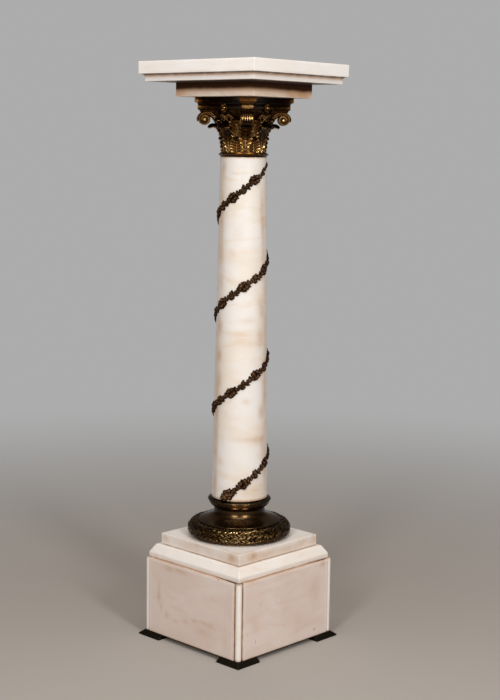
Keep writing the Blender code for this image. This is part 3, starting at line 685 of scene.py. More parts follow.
# The blots from 42° to 66° either side of the front corner, down the left and right sides as seen, are partly
# tan stains and partly painted shade on the shaft's sides; the first two, long bands, are that shade. The
# rest are tan stains.
SHAFT_STAINS_AND_SHADE = ((66, 48, 520, 8, 190, 0.42), (-66, 48, 480, 8, 190, 0.34), (-57, 44, 918, 7, 14, 0.6),
               (-60, 45, 860, 6, 30, 0.3), (-60, 45.6, 806, 8, 50, 0.45), (-57, 46.5, 750, 7, 22, 0.35),
               (-54, 47.3, 702, 8, 24, 0.4), (-58, 48.7, 619, 9, 14, 0.7),
               (-56, 49.5, 563, 8, 12, 0.6), (-55, 50.3, 516, 8, 20, 0.55), (-61, 51.4, 451, 6, 40, 0.45),
               (-62, 53, 380, 6, 30, 0.35), (-62, 53.7, 307, 6, 30, 0.6), (-46, 52.9, 357, 8, 6, 0.3),
               (50, 44.9, 854, 6, 26, 0.4), (55, 45.5, 812, 6, 40, 0.55), (58, 46.5, 740, 6, 40, 0.35),
               (52, 48.2, 650, 8, 24, 0.5), (47, 49.1, 597, 9, 20, 0.6), (60, 50.5, 506, 8, 34, 0.5),
               (50, 51.3, 454, 8, 14, 0.65), (54, 52.3, 395, 7, 26, 0.5), (64, 52.9, 350, 7, 34, 0.5),
               (42, 47.9, 664, 9, 10, 0.3), (-11, 45.8, 794, 9, 18, 0.22), (-24, 46.4, 758, 8, 10, 0.2),
               (14, 48.4, 632, 16, 5, 0.25), (-7, 48.8, 606, 26, 5, 0.32), (19, 49.2, 588, 26, 6, 0.25),
               (12, 51, 477, 8, 6, 0.35), (38, 52.2, 402, 16, 8, 0.5), (2, 52.1, 404, 24, 5, 0.3),
               (33, 53.7, 305, 24, 20, 0.3), (130, 50, 600, 20, 30, 0.35), (180, 48, 700, 24, 16, 0.35),
               (230, 52, 420, 20, 30, 0.35), (150, 53, 340, 24, 12, 0.35), (260, 46, 830, 18, 30, 0.3))


def make_shaft():
    """The tapered shaft, plain and polished."""
    low, high = SHAFT_BOX
    sides = 160
    rise = np.concatenate([np.linspace(low.z, low.z + 30 * MM, 10),
                           np.linspace(low.z + 35 * MM, high.z - 20 * MM, 150),
                           np.linspace(high.z - 18 * MM, high.z, 8)])
    shape = revolved(np.stack([shaft_radius(rise), rise], -1), sides)
    points = shape[0]
    lip = SOCKET_BOX[1].z
    grime = 0.75 * near(rise - lip, 2.5 * MM) + 0.6 * near(high.z - rise, 2.0 * MM)
    lay("marble_shaft", shape, SHAFT_MARBLE, ["shaft"],
        {"grime": np.repeat(grime, sides), "blot": mark_amounts(points, SHAFT_STAINS_AND_SHADE)}, ends_of(points))


# Bronze base

def make_feet():
    """Bronze pads with two sloped outer edges, their arrises eased by a bevel."""
    low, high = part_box("foot_front_right")
    toe, inner, top = high.x, low.x, high.z
    toe_height, slope_run = 2.8 * MM, 8.5 * MM
    rings = [(toe, 0.0), (toe, toe_height), (toe - slope_run, top)]
    points = np.array([[(inner, -edge, z), (edge, -edge, z), (edge, -inner, z), (inner, -inner, z)]
                       for edge, z in rings])
    shape = closed_round(points, 0.55)
    for number, corner in enumerate(CORNERS):
        placed = turned_copies(shape, np.array([number * math.pi / 2]))
        foot = lay("bronze_foot_" + corner, placed, FOOT_BRONZE, ["foot_" + corner],
                   caps=ends_of(points), smooth_deg=30)
        ease = foot.modifiers.new("eased edges", "BEVEL")
        ease.width = 0.7 * MM
        ease.segments = 3
        ease.limit_method = "ANGLE"


def make_socket():
    """The turned socket: tenon, rim, hollow flare, neck and rolled lip. Front and back are gold and the sides
    dark, partly rubbing and partly painted highlight and shade, and a painted highlight runs round the flare.
    """
    low, high = SOCKET_BOX
    sides = 144
    rim_radius, rim = high.x, RING_BOX[1].z + 0.3 * MM
    neck = rim + 26.6 * MM
    bore = SHAFT_BOX[1].x + 0.3 * MM
    tenon = rim_radius - 11.7 * MM
    rim_edge = arc(rim_radius - 1.1 * MM, rim + 1.1 * MM, 1.1 * MM, -90, 90, 8)
    flare = smooth_line([(rim_radius - 1.1 * MM, rim + 2.2 * MM), (74.4 * MM, rim + 3.8 * MM),
                         (67.5 * MM, rim + 6.2 * MM), (58.2 * MM, rim + 10.6 * MM),
                         (52.2 * MM, rim + 15.2 * MM), (50.5 * MM, rim + 18.6 * MM),
                         (NECK_RADIUS, neck - 4.6 * MM), (NECK_RADIUS - 0.2 * MM, neck)], 34)
    under = smooth_line([(NECK_RADIUS - 0.2 * MM, neck), (NECK_RADIUS + 2.2 * MM, neck + 2.9 * MM),
                         (LIP_RADIUS - 5.2 * MM, neck + 6.2 * MM), (LIP_RADIUS - 2.6 * MM, neck + 10.0 * MM),
                         (LIP_RADIUS - 1.6 * MM, neck + 13.4 * MM)], 16)
    roll = arc(LIP_RADIUS - 2.3 * MM, neck + 15.9 * MM, 2.3 * MM, -60, 75, 10)
    top = smooth_line([(LIP_RADIUS - 2.5 * MM, neck + 18.3 * MM), (LIP_RADIUS - 4.2 * MM, neck + 18.8 * MM),
                       (bore + 1.2 * MM, neck + 20.2 * MM), (bore, high.z)], 10)
    profile = np.concatenate([[(tenon, low.z), (tenon, rim)], rim_edge, flare[1:], under[1:], roll, top[1:],
                              [(bore, high.z - 5 * MM)]])
    bend = side_normals(profile)
    turn = np.abs(np.gradient(np.unwrap(np.arctan2(bend[:, 1], bend[:, 0]))))
    relief_and_light = np.clip(0.36 + 0.42 * turn * (profile[:, 0] > NECK_RADIUS + 6 * MM), 0, 0.9)
    # Painted highlight: a gold band round the middle of the flare, where the lamps shine on it
    relief_and_light = np.maximum(relief_and_light, 0.36 + 0.50 * near(profile[:, 1] - rim - 9 * MM, 5.0 * MM))
    relief_and_light[profile[:, 1] < rim + 0.4 * MM] = 0.1
    relief_and_light[len(profile) - 11:] = 0.12
    # Painted highlight at front and back and painted shade at the sides, with some rubbing
    rub_and_painted_light = 0.50 + 0.72 * np.cos(round_angles(sides) - FRONT_CORNER) ** 4
    relief_and_light = np.minimum(relief_and_light[:, None] * rub_and_painted_light, 1)
    lay("bronze_socket", revolved(profile, sides, relief_and_light), SOCKET_BRONZE, ["shaft_socket"],
        closed=False, smooth_deg=50)


def leaf_blade(length, width, rows, columns, lift_root, lift_tip, dome, rib):
    """One small pointed leaf as a grid: places along and across it, its height, and its relief.

    The outline is a sine arch drawn to a point. The blade rises from root to tip, is domed across,
    has a raised rib along its middle, and ends in an edge that drops to the bed.
    """
    along = np.linspace(0, 1, rows)[:, None]
    across = np.linspace(-1, 1, columns)[None, :]
    across = np.sign(across) * np.abs(across) ** 0.8
    half = width / 2 * np.sin(math.pi * np.clip(along, 0.02, 0.985) ** 0.8) ** 0.75
    x = length * (along - 0.5 + 0.02 * across)
    y = half * across
    blade = lift_root + (lift_tip - lift_root) * along ** 1.3
    middle = near(across, 0.16)
    height = blade + dome * (1 - across ** 2) + rib * middle
    height = np.where(np.abs(across) > 0.99, height - 0.9 * blade - 0.5 * MM, height)
    relief_and_light = 0.30 + 0.45 * along + 0.25 * middle - 0.55 * (np.abs(across) > 0.99)
    return (np.broadcast_to(x, height.shape), np.broadcast_to(y, height.shape), height,
            np.broadcast_to(relief_and_light, height.shape))


# How far each row of leaves stands round the ring's section from level
RING_ROWS = np.radians([-92, -70, -49, -29, -9, 11, 31, 51, 72, 94, 116])


def make_laurel_ring():
    """A round-sectioned ring laid all over with small overlapping laurel leaves.

    Each leaf's grid is bent round the ring: along it by the angle round the column, across it by the
    angle round the section. The rows lean to and fro, and no two leaves lie quite alike. Front and back
    are gold and the sides dark, partly rubbing and partly painted highlight and shade.
    """
    low, high = RING_BOX
    tube = RING_TUBE - 2.1 * MM
    outer = high.x / math.cos(math.pi / 90) + 1.0 * MM
    centre = outer - RING_TUBE
    middle = (low.z + high.z) / 2
    section = np.radians(np.linspace(-100, 262, 40))
    core = np.stack([centre + tube * np.cos(section), middle + tube * np.sin(section)], -1)
    core[:, 1] = np.clip(core[:, 1], low.z, high.z)
    shapes = [revolved(core, 160, 0.02)]
    x, y, height, relief_and_light = leaf_blade(11.8 * MM, 6.4 * MM, 8, 7, 0.2 * MM, 1.3 * MM, 0.85 * MM, 0.45 * MM)
    one = quads(*x.shape)
    for row, slant in enumerate(RING_ROWS):
        count = 72 + 2 * (row % 2)
        lean = math.radians(26 if row % 2 else -24) + chance.normal(0, 0.17, count)[:, None, None]
        lift = chance.uniform(0.65, 1.15, count)[:, None, None]
        around = (np.arange(count) + chance.normal(0, 0.16, count)) * 2 * math.pi / count
        size = chance.uniform(0.85, 1.1, count)[:, None, None]
        forward, sideways = leaned(x[None], y[None], lean)
        angle = slant + size * sideways / tube + chance.normal(0, 0.05, count)[:, None, None]
        reach = tube + height[None] * lift
        radius = centre + reach * np.cos(angle)
        turn = around[:, None, None] + size * forward / (centre + tube * math.cos(slant))
        level = np.clip(middle + reach * np.sin(angle), low.z, high.z)
        faces = (one[None] + (np.arange(count) * x.size)[:, None, None]).reshape(-1, 4)
        # Painted highlight at front and back and painted shade at the sides, with some rubbing
        rub_and_painted_light = relief_and_light[None] * (0.55 + 0.47 * np.cos(turn - FRONT_CORNER) ** 4)
        shapes.append((around_axis(radius, turn, level), faces, rub_and_painted_light))
    lay("bronze_laurel_ring", joined(shapes), RING_BRONZE, ["laurel_ring"], closed=False)


# Garland

GARLAND_TURNS = 3.37
GARLAND_START = math.radians(-40)
GARLAND_SWAY = 7.3 * MM
# About how far the garland's middle line is from the axis, and how far it climbs
GARLAND_RADIUS = 48.9 * MM
GARLAND_CLIMB = 645 * MM
SPRIGS = 22
# How far the garland is bent up at an angle from the front corner, in degrees and millimetres
BENDS = np.array([(-40, 0), (0, 0), (60, 2.5), (180, 5), (300, 9), (345, 8), (375, 6.5), (395, 7), (412, 3.5),
                  (440, 6), (540, 4), (655, 6.5), (690, 9), (715, 7), (742, 6.5), (765, 1.5), (790, 5),
                  (900, 5), (1015, 8), (1050, 5.5), (1085, 3.5), (1107, 4.5), (1127, 0), (1145, 3),
                  (1173, 0)])


def garland_height(angle):
    """Height of the garland's middle line: a helix that climbs faster across the front, and its bends."""
    low = SOCKET_BOX[1].z + 3.5 * MM
    high = SHAFT_BOX[1].z - 9.0 * MM
    end = GARLAND_START + 2 * math.pi * GARLAND_TURNS
    steady = high - low - GARLAND_SWAY * (math.sin(end) - math.sin(GARLAND_START))
    return (low + steady * (angle - GARLAND_START) / (end - GARLAND_START)
            + GARLAND_SWAY * (np.sin(angle) - math.sin(GARLAND_START))
            + np.interp(np.degrees(angle), BENDS[:, 0], BENDS[:, 1]) * MM)


def on_shaft(share, along, across, height):
    """Places of points on the shaft: a share of the garland's way, then metres along, across and out."""
    angle = GARLAND_START + 2 * math.pi * GARLAND_TURNS * share
    step = 0.01
    middle = (SHAFT_BOX[1].x + SHAFT_TOP_RADIUS) / 2
    slope = np.arctan2((garland_height(angle + step) - garland_height(angle - step)) / (2 * step), middle)
    aside, up = leaned(along, across, slope)
    level = garland_height(angle) + up
    radius = shaft_radius(level) + height
    return around_axis(radius, FRONT_CORNER + angle + aside / radius, level)


def fullness(way):
    """The size of the garland's forms, which dwindles towards its top."""
    return min(1.0, 0.45 + 9 * (1 - way))


def rose(radius, petals, height):
    """A rose as a polar grid: a domed disc with a scalloped rim, creased into petals that wind in."""
    ring = np.linspace(0.05, 1.0, 9)[:, None]
    turn = round_angles(26)
    crease = np.abs(np.sin(petals * turn / 2 + 3.2 * ring)) ** 0.6
    rim = 1 - 0.24 * (1 - np.abs(np.sin(petals * turn / 2 + 3.2)) ** 0.7)
    reach = radius * ring * (1 + (rim - 1) * ring ** 2)
    dome = np.sqrt(np.clip(1 - ring ** 2.4, 0, 1))
    level = height * (0.20 + 0.70 * dome + 0.24 * crease * np.sin(math.pi * np.clip(ring, 0, 1) ** 0.8))
    level = level + height * (0.24 * near(ring, 0.24) - 0.22 * near(ring - 0.40, 0.10))
    level = np.where(ring > 0.99, 0.0, level)
    relief_and_light = 1.05 * dome * (0.55 + 0.45 * crease) - 0.35 * near(ring - 0.40, 0.12)
    return reach * np.cos(turn), reach * np.sin(turn), level, np.clip(relief_and_light, 0, 1) * (ring < 0.99)


def rose_on_shaft(flower, share, across):
    """A rose laid on the shaft, at a share of the garland's way and so far across it."""
    along, aside, level, relief_and_light = flower
    return closed_round(on_shaft(share, along, aside + across, level + 0.2 * MM), relief_and_light)


# The forms of one sprig, as share along it, millimetres across it, and radius or lean in degrees
ROSES = ((0.80, 4.6, 5.9), (0.83, -4.9, 5.6), (0.93, -3.6, 5.6), (0.95, 4.4, 5.2), (0.05, 0.4, 4.9),
         (0.14, -1.0, 4.4), (0.23, 0.9, 5.2), (0.32, -3.4, 5.4), (0.36, 3.4, 5.4), (0.46, -0.6, 5.0),
         (0.54, 1.0, 4.5), (0.62, -0.9, 4.6), (0.70, 0.4, 4.9))
LEAVES = ((0.88, 7.6, 80), (0.01, -5.4, -50), (0.09, 4.2, 50), (0.27, -4.8, -56), (0.42, 5.8, 58),
          (0.50, -4.6, -56), (0.66, 4.4, 50), (0.76, -5.2, -62))
# The broad cluster at the garland's foot: millimetres along it, across it, and radius
FOOT_ROSES = ((2.0, -1.0, 4.2), (6.5, 3.2, 4.8), (8.0, -4.6, 5.0), (13.0, 6.2, 5.4), (14.0, -0.6, 5.4),
              (15.0, -7.6, 5.2), (20.0, 4.2, 5.2), (21.5, -4.4, 5.6), (27.0, 0.0, 4.8))


def make_garland():
    """A stem wound round the shaft under a thick growth of roses, with leaves at its edges."""
    share = np.linspace(0, 1, 900)[:, None]
    turn = round_angles(8)
    thick = (2.6 - 1.6 * share ** 6) * MM
    stem = on_shaft(share, 0.0, thick * np.cos(turn), 0.9 * MM + 0.6 * thick * np.sin(turn))
    shapes = [closed_round(stem, 0.15)]
    length = math.hypot(2 * math.pi * GARLAND_TURNS * GARLAND_RADIUS, GARLAND_CLIMB)
    x, y, height, blade_relief = leaf_blade(7.2 * MM, 6.2 * MM, 8, 7, 0.8 * MM, 1.5 * MM, 0.9 * MM, 0.4 * MM)
    blade_faces = quads(*x.shape)
    for number in range(SPRIGS):
        for place, across, radius in ROSES:
            way = (number + place + chance.normal(0, 0.008)) / SPRIGS
            full = fullness(way)
            size = radius * MM * chance.uniform(0.88, 1.08) * full
            petals = int(chance.integers(4, 7))
            flower = rose(size, petals, 4.0 * MM * full * chance.uniform(0.8, 1.1))
            across = (across + chance.normal(0, 0.4)) * MM * full
            if 0.001 < way < 0.995:
                shapes.append(rose_on_shaft(flower, way, across))
        for place, across, lean in LEAVES:
            way = (number + place + chance.normal(0, 0.01)) / SPRIGS
            full = fullness(way)
            forward, sideways = leaned(x, y, math.radians(lean + chance.normal(0, 14)))
            if 0.008 < way < 0.99:
                blade = on_shaft(way, forward * full, (sideways + across * MM) * full, height * full)
                shapes.append((blade, blade_faces, blade_relief))
    for along, across, radius in FOOT_ROSES:
        flower = rose(radius * MM, 5, 3.7 * MM)
        shapes.append(rose_on_shaft(flower, along * MM / length, across * MM))
    lay("bronze_garland", joined(shapes), GARLAND_BRONZE, ["garland"], closed=False)


# Capital, with heights counted from its underside and the leaves first made on the +X side

CAPITAL_LOW, CAPITAL_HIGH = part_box("capital")
CAPITAL_HEIGHT = CAPITAL_HIGH.z - CAPITAL_LOW.z
ABACUS_HEIGHT = 23.3 * MM
ABACUS_FOOT = CAPITAL_HEIGHT - ABACUS_HEIGHT
DIAGONALS = np.radians([45, 135, 225, 315])
MIDDLES = np.radians([0, 90, 180, 270])
VOLUTE_EYE = np.array([74.1, 68.8]) * MM
BELL_FOOT = 9.5 * MM


def bell_radius(height):
    """The bell's radius, which opens out towards the abacus."""
    share = np.clip((height - BELL_FOOT) / (ABACUS_FOOT - BELL_FOOT), 0, 1)
    return 38.5 * MM + 13.5 * MM * share ** 2.6


def capital_bell():
    """The bell, and the sharp-edged collar under it."""
    collar = np.array([(-4, 0), (0, 0), (0.5, 0.9), (2.3, 2.8), (4.1, 4.3), (4.2, 5.2), (2.4, 5.8),
                       (0.9, 6.4), (0.7, 7.9), (-1.6, 8.6)]) * MM + (SHAFT_TOP_RADIUS, 0)
    collar_relief = [0.1, 0.1, 0.15, 0.2, 0.40, 0.42, 0.20, 0.45, 0.55, 0.1]
    rise = np.linspace(BELL_FOOT, ABACUS_FOOT + 1 * MM, 16)
    profile = np.concatenate([collar, np.stack([bell_radius(rise), rise], -1)])
    relief_and_light = np.concatenate([collar_relief, np.full_like(rise, 0.22)])
    return revolved(profile, 96, relief_and_light[:, None])


def abacus_plan(steps):
    """Plan of the abacus: four hollow sides between cut-off horns, with outward normals, which are
    mitred at the corners."""
    horn, half_horn, hollow = 92.2 * MM, 15.0 * MM, 14.8 * MM
    reach, half_side = (horn + half_horn) / math.sqrt(2), (horn - half_horn) / math.sqrt(2)
    along = np.linspace(-1, 1, steps)
    side = np.stack([reach - hollow * (1 - along ** 2), along * half_side], -1)
    normal = side_normals(side)
    diagonal = np.array([1, 1]) / math.sqrt(2)
    corner = (normal[-1] + diagonal) / (1 + normal[-1] @ diagonal)
    normal[-1], normal[0] = corner, corner * np.array([1, -1])
    turns = [turning(angle) for angle in MIDDLES]
    return (np.concatenate([side @ turn for turn in turns]),
            np.concatenate([normal @ turn for turn in turns]))


def capital_abacus():
    """The abacus: its plan moved in by a profile that has a rounded band, a groove, a cove and an edge.

    Its relief goes by the profile's points. The horns are rubbed most, and the sides are kept dark, partly as
    painted shade.
    """
    top = ABACUS_HEIGHT / MM
    profile = [(12, 0), (8.4, 0), (8.2, 0.8), (7.4, 1.2)]
    profile += [(7.4 - 1.7 * x, 5.0 + 3.6 * z) for x, z in arc(0, 0, 1, -80, 75, 8)]
    profile += [(7.3, 9.0), (7.3, 9.8), (6.0, 10.0), (5.6, 10.6)]
    profile += [(0.6 + 4.6 * x, 10.8 + 3.2 * z) for x, z in arc(0, 0, 1, 0, 90, 8)]
    profile += [(0, 14.4), (0, top - 0.6), (0.5, top), (12, top)]
    profile = np.array(profile) * MM
    plan, normal = abacus_plan(34)
    flat = plan[None] - normal[None] * profile[:, :1, None]
    points = points_at(flat[..., 0], flat[..., 1], profile[:, 1:] + ABACUS_FOOT)
    relief_and_light = np.full(len(profile), 0.22)
    band, groove, cove, edge = slice(4, 12), slice(14, 16), slice(17, 24), slice(24, None)
    relief_and_light[band], relief_and_light[groove], relief_and_light[cove], relief_and_light[edge] = 0.66, 0.10, 0.50, 0.40
    # Horns rubbed to gold; the sides darker, partly painted shade
    rub_and_painted_light = 0.30 + 0.70 * near(np.hypot(plan[:, 0], plan[:, 1]) - 93 * MM, 7 * MM)
    inwards = np.array([0.3, 0.3, 1])
    points = np.concatenate([points[[0]] * inwards, points, points[[-1]] * inwards])
    relief_and_light = np.concatenate([[0.02], relief_and_light, [0.02]])[:, None] * rub_and_painted_light
    return closed_round(points, relief_and_light)


def eased(numbers, count):
    """A smooth curve through evenly spaced numbers, as a column. Its knots are drawn tall, so that the
    curve's steps follow the numbers."""
    tall = 20
    knots = np.stack([np.linspace(0, 1, len(numbers)), np.asarray(numbers) * tall], -1)
    curve = smooth_line(knots, 4 * count)
    return np.interp(np.linspace(0, 1, count), curve[:, 0], curve[:, 1] / tall)[:, None]


def acanthus(line, widths, walls, lobes):
    """A carved leaf on the +X side.

    Its middle runs up the line of radius and height. Its half width and its thickness are smooth curves
    through the given numbers, all in millimetres, and its edge is scalloped into lobes. Ridges rise
    outwards from the rib to the lobes' ends, which curl out, and flutes run up its lower half. Its back
    closes on its front at foot and tip.
    """
    rows, columns = round(7.5 * lobes), 25
    u = np.linspace(0, 1, rows)[:, None]
    v = np.linspace(-1, 1, columns)[None, :]
    far = np.abs(v)
    middle = smooth_line(np.array(line) * MM, rows)
    normal = side_normals(middle)
    half, wall = eased(widths, rows) * MM, eased(walls, rows) * MM
    ridge = np.abs(np.sin(math.pi * (lobes * u - 0.9 * far ** 1.2)))
    edge = np.abs(np.sin(math.pi * (lobes * u - 0.9)))
    flutes = (0.5 + 0.5 * np.cos(6 * math.pi * v)) * np.clip(1.1 - 1.5 * u, 0, 1)
    side = v * half * (1 - 0.34 * (1 - edge) ** 1.5 * far ** 2)
    rib = near(v, 0.12) * np.clip(1.2 - u, 0, 1)
    height = (1.2 * ridge ** 0.7 * far ** 0.5 + 0.9 * rib + 0.5 * flutes + 1.7 * far ** 3 * edge - 1.0) * MM
    back_wall = wall * (1 - 0.55 * far ** 2)
    back_wall[[0, -1]] = 0
    relief_and_light = np.clip(0.10 + 0.40 * ridge ** 1.5 * far ** 0.4 + 0.48 * rib + 0.32 * flutes
                     + 0.75 * far ** 4 * edge ** 2 + 0.30 * np.clip(4 * u - 3, 0, 1), 0, 1)

    def placed(lift):
        radius = middle[:, :1] + normal[:, :1] * lift
        level = middle[:, 1:] + normal[:, 1:] * lift
        return around_axis(radius, side / np.maximum(middle[:, :1], 30 * MM), level)

    back = placed(height - back_wall)[:, ::-2]
    points = np.concatenate([placed(height), back], 1)
    return closed_round(points, np.concatenate([relief_and_light, np.full(back.shape[:2], 0.05)], 1))


# Each leaf's middle line, its half widths and its thicknesses from foot to tip, and its lobes
LOW_LEAF = ([(40.8, 8.6), (42.4, 18.0), (43.4, 26.0), (44.8, 32.0), (47.0, 34.6), (48.2, 33.4), (47.6, 31.8)],
            [9.5, 12.0, 12.5, 11.5, 9.5, 7.0, 3.0], [2.5, 2.8, 3.2, 3.6, 3.4, 2.6, 1.2], 6)
TALL_LEAF = ([(40.6, 8.6), (42.0, 14.3), (44.0, 24.3), (45.4, 37.2), (49.3, 47.6), (54.4, 53.2), (60.0, 55.0),
              (64.0, 53.6), (65.0, 51.6)],
             [5.5, 6.5, 8.5, 11.0, 12.5, 12.5, 10.5, 8.0, 5.0, 3.0],
             [2.4, 2.6, 3.2, 4.8, 8.0, 9.4, 9.0, 8.0, 6.0, 3.4], 8)
SHEATH_LEAF = ([(42.5, 30.0), (44.6, 42.0), (47.8, 54.0), (51.6, 62.5), (55.6, 68.0), (58.4, 68.4),
                (58.8, 66.0)],
               [4.5, 8.0, 10.5, 12.5, 12.0, 8.5, 3.0], [2.4, 3.0, 3.4, 3.6, 3.4, 2.6, 1.2], 7)


def capital_leaves():
    """Eight short leaves, eight tall ones between them under the horns and the flowers, and eight that
    sheathe the stems of the scrolls. The tall ones are darkest halfway up, as painted shade where they curl
    out, bright at the foot as a painted highlight, and bright again at the tip."""
    low, tall, sheath = acanthus(*LOW_LEAF), acanthus(*TALL_LEAF), acanthus(*SHEATH_LEAF)
    points, faces, relief_and_light = tall
    rise = np.linspace(0, 1, len(relief_and_light))[:, None]
    # Painted light on the tall leaves: shade halfway up, highlight towards the foot
    tall = (points, faces, np.clip(relief_and_light * (1.45 - 0.95 * near(rise - 0.55, 0.26)), 0, 1))
    under_horns = round_angles(8)
    between = under_horns + math.pi / 8
    return [turned_copies(low, between), turned_copies(tall, under_horns), turned_copies(sheath, between)]


# Half of a scroll band's section: across from its middle line, through its thickness, and relief
BAND_HALF = np.array([(0.30, 0.40, 0.15), (0.62, 0.42, 0.20), (0.76, 0.50, 0.35), (0.93, 0.50, 0.60),
                      (1.00, 0.42, 0.90), (1.00, 0.22, 0.85), (0.92, 0.14, 0.40), (0.92, 0.04, 0.35),
                      (0.98, -0.04, 0.60), (0.98, -0.22, 0.60), (0.91, -0.30, 0.25), (0.94, -0.42, 0.30),
                      (0.86, -0.50, 0.20), (0.30, -0.50, 0.05)])
# Points of a scroll's path along its stem, before it winds
STEM_STEPS = 25


def scroll_band(path, thick, half):
    """A moulded band along a flat path: places in the path's plane, places off it, and relief."""
    other = BAND_HALF[::-1] * np.array([-1, 1, 1])
    across, lift, relief_and_light = np.concatenate([BAND_HALF, other]).T[:, None, :]
    outer = -side_normals(path)
    first = path[:, :1] + outer[:, :1] * lift * thick
    second = path[:, 1:] + outer[:, 1:] * lift * thick
    return first, second, across * half, np.broadcast_to(relief_and_light, first.shape)


def wind_in(stem, eye, start, finish, turns, count):
    """A path up a stem and then round an eye, winding in from one radius to another, and how far it
    has wound at each point."""
    angle = np.linspace(math.radians(100), math.radians(100) - 2 * math.pi * turns, count)
    wound = np.linspace(0, 1, count)
    radius = start + (finish - start) * wound ** 0.9
    spiral = eye + radius[:, None] * np.stack([np.cos(angle), np.sin(angle)], -1)
    rise = smooth_line(np.concatenate([stem, spiral[:1]]), STEM_STEPS + 1)[:-1]
    return np.concatenate([rise, spiral]), np.concatenate([np.zeros(STEM_STEPS), wound])[:, None]


def volute():
    """A corner scroll: its moulded band from the bell to the eye, a drum that closes its sides, a button
    at the eye, and beads along its stem."""
    stem = np.array([(40.5, 41.0), (44.5, 50.5), (48.6, 59.5), (53.5, 68.5), (59.5, 75.5), (66.5, 79.0)]) * MM
    path, wound = wind_in(stem, VOLUTE_EYE, 10.6 * MM, 4.4 * MM, 1.30, 84)
    winding = wound[STEM_STEPS:]
    thick = np.concatenate([eased([6.0, 7.2, 7.8, 7.8, 7.0, 5.4], STEM_STEPS), 5.2 - 1.8 * winding]) * MM
    half = np.concatenate([eased([6.0, 8.0, 9.8, 11.2, 11.8], STEM_STEPS), 11.9 - 1.5 * winding]) * MM
    radius, level, off, relief_and_light = scroll_band(path, thick, half)
    shapes = [closed_round(points_at(radius, off, level), relief_and_light * (0.62 + 0.28 * wound))]
    turn = round_angles(36)
    drum = ((-9.0, 0.1), (-9.2, 4.0), (-8.6, 10.5), (8.6, 10.5), (9.2, 4.0), (9.0, 0.1))
    button = ((-11.8, 0.1), (-11.5, 1.6), (-10.6, 2.9), (-7.0, 3.3), (7.0, 3.3), (10.6, 2.9), (11.5, 1.6),
              (11.8, 0.1))
    for outline, value in ((drum, 0.20), (button, 0.9)):
        off, reach = np.array(outline).T[..., None] * MM
        points = points_at(VOLUTE_EYE[0] + reach * np.cos(turn), off, VOLUTE_EYE[1] + reach * np.sin(turn))
        shapes.append(closed_round(points, value))
    steps, beads = 150, 15
    beaded = smooth_line(path[3:34:5], steps)
    size = (0.35 + 0.75 * np.abs(np.sin(np.linspace(0, beads * math.pi, steps)))) * MM
    width = eased([6.6, 9.2, 11.0, 11.4], steps)[:, 0] * 0.94 * MM
    for hand in (-1, 1):
        line = np.stack([beaded[:, 0], hand * width, beaded[:, 1]], -1)
        shapes.append(tube(line, size, 8, 0.6))
    return joined(shapes)


def horn_pad():
    """The block that fills the corner between a scroll's stem, the bell and the abacus, as stacked
    rounded rectangles."""
    turn = round_angles(32)
    levels = np.array([(56.0, 36.0, 45.0, 5.0), (64.0, 36.0, 49.5, 6.5), (72.0, 36.0, 56.0, 7.5),
                       (77.5, 38.0, 68.0, 8.0), (80.5, 40.0, 80.0, 9.0), (83.8, 40.0, 83.4, 9.8),
                       (87.0, 40.0, 84.0, 9.8)])[..., None] * MM
    level, inner, outer, half = levels.transpose(1, 0, 2)
    cosine, sine = np.cos(turn), np.sin(turn)
    x = (inner + outer) / 2 + (outer - inner) / 2 * np.sign(cosine) * np.abs(cosine) ** 0.3
    return closed_round(points_at(x, half * np.sign(sine) * np.abs(sine) ** 0.3, level), 0.20)


def horn_leaf():
    """The ribbed shell leaf that hangs from a horn over its scroll, wider to its foot, with five lobes."""
    rows, columns = 26, 31
    u = np.linspace(0, 1, rows)[:, None]
    v = np.linspace(-1, 1, columns)[None, :]
    ribs = 0.5 + 0.5 * np.cos(5 * math.pi * v)
    angle = np.radians(98 - (104 + 12 * ribs - 8 * v ** 2) * u)
    drop = 2.2 * MM * np.clip(np.maximum((np.abs(v) - 0.93) / 0.07, (u - 0.95) / 0.05), 0, 1)
    reach = 13.4 * MM + (0.5 + 0.9 * ribs * (0.4 + 0.6 * u)) * MM - drop
    radius = VOLUTE_EYE[0] + reach * np.cos(angle)
    level = np.minimum(VOLUTE_EYE[1] + reach * np.sin(angle), ABACUS_FOOT - 1.0 * MM)
    half = (7.6 + 3.4 * u ** 1.2) * MM
    relief_and_light = np.clip(0.26 + 0.70 * ribs ** 1.4 * (0.45 + 0.55 * u), 0, 1) * (drop < 1 * MM)
    return points_at(radius, half * v, level), quads(rows, columns), relief_and_light


def tube(path, radius, sides, relief_and_light):
    """A round rod along a path in space, with a radius at each point of it."""
    along = np.gradient(path, axis=0)
    along /= np.linalg.norm(along, axis=1, keepdims=True)
    out = np.array([1.0, 0.0, 0.0]) - along * along[:, :1]
    out /= np.linalg.norm(out, axis=1, keepdims=True)
    beside = np.cross(along, out)
    turn = round_angles(sides)[:, None]
    spoke = out[:, None] * np.cos(turn) + beside[:, None] * np.sin(turn)
    value = np.clip(relief_and_light + 0.45 * np.cos(turn[:, 0]), 0.03, 1)
    return closed_round(path[:, None] + radius[:, None, None] * spoke, value[None])


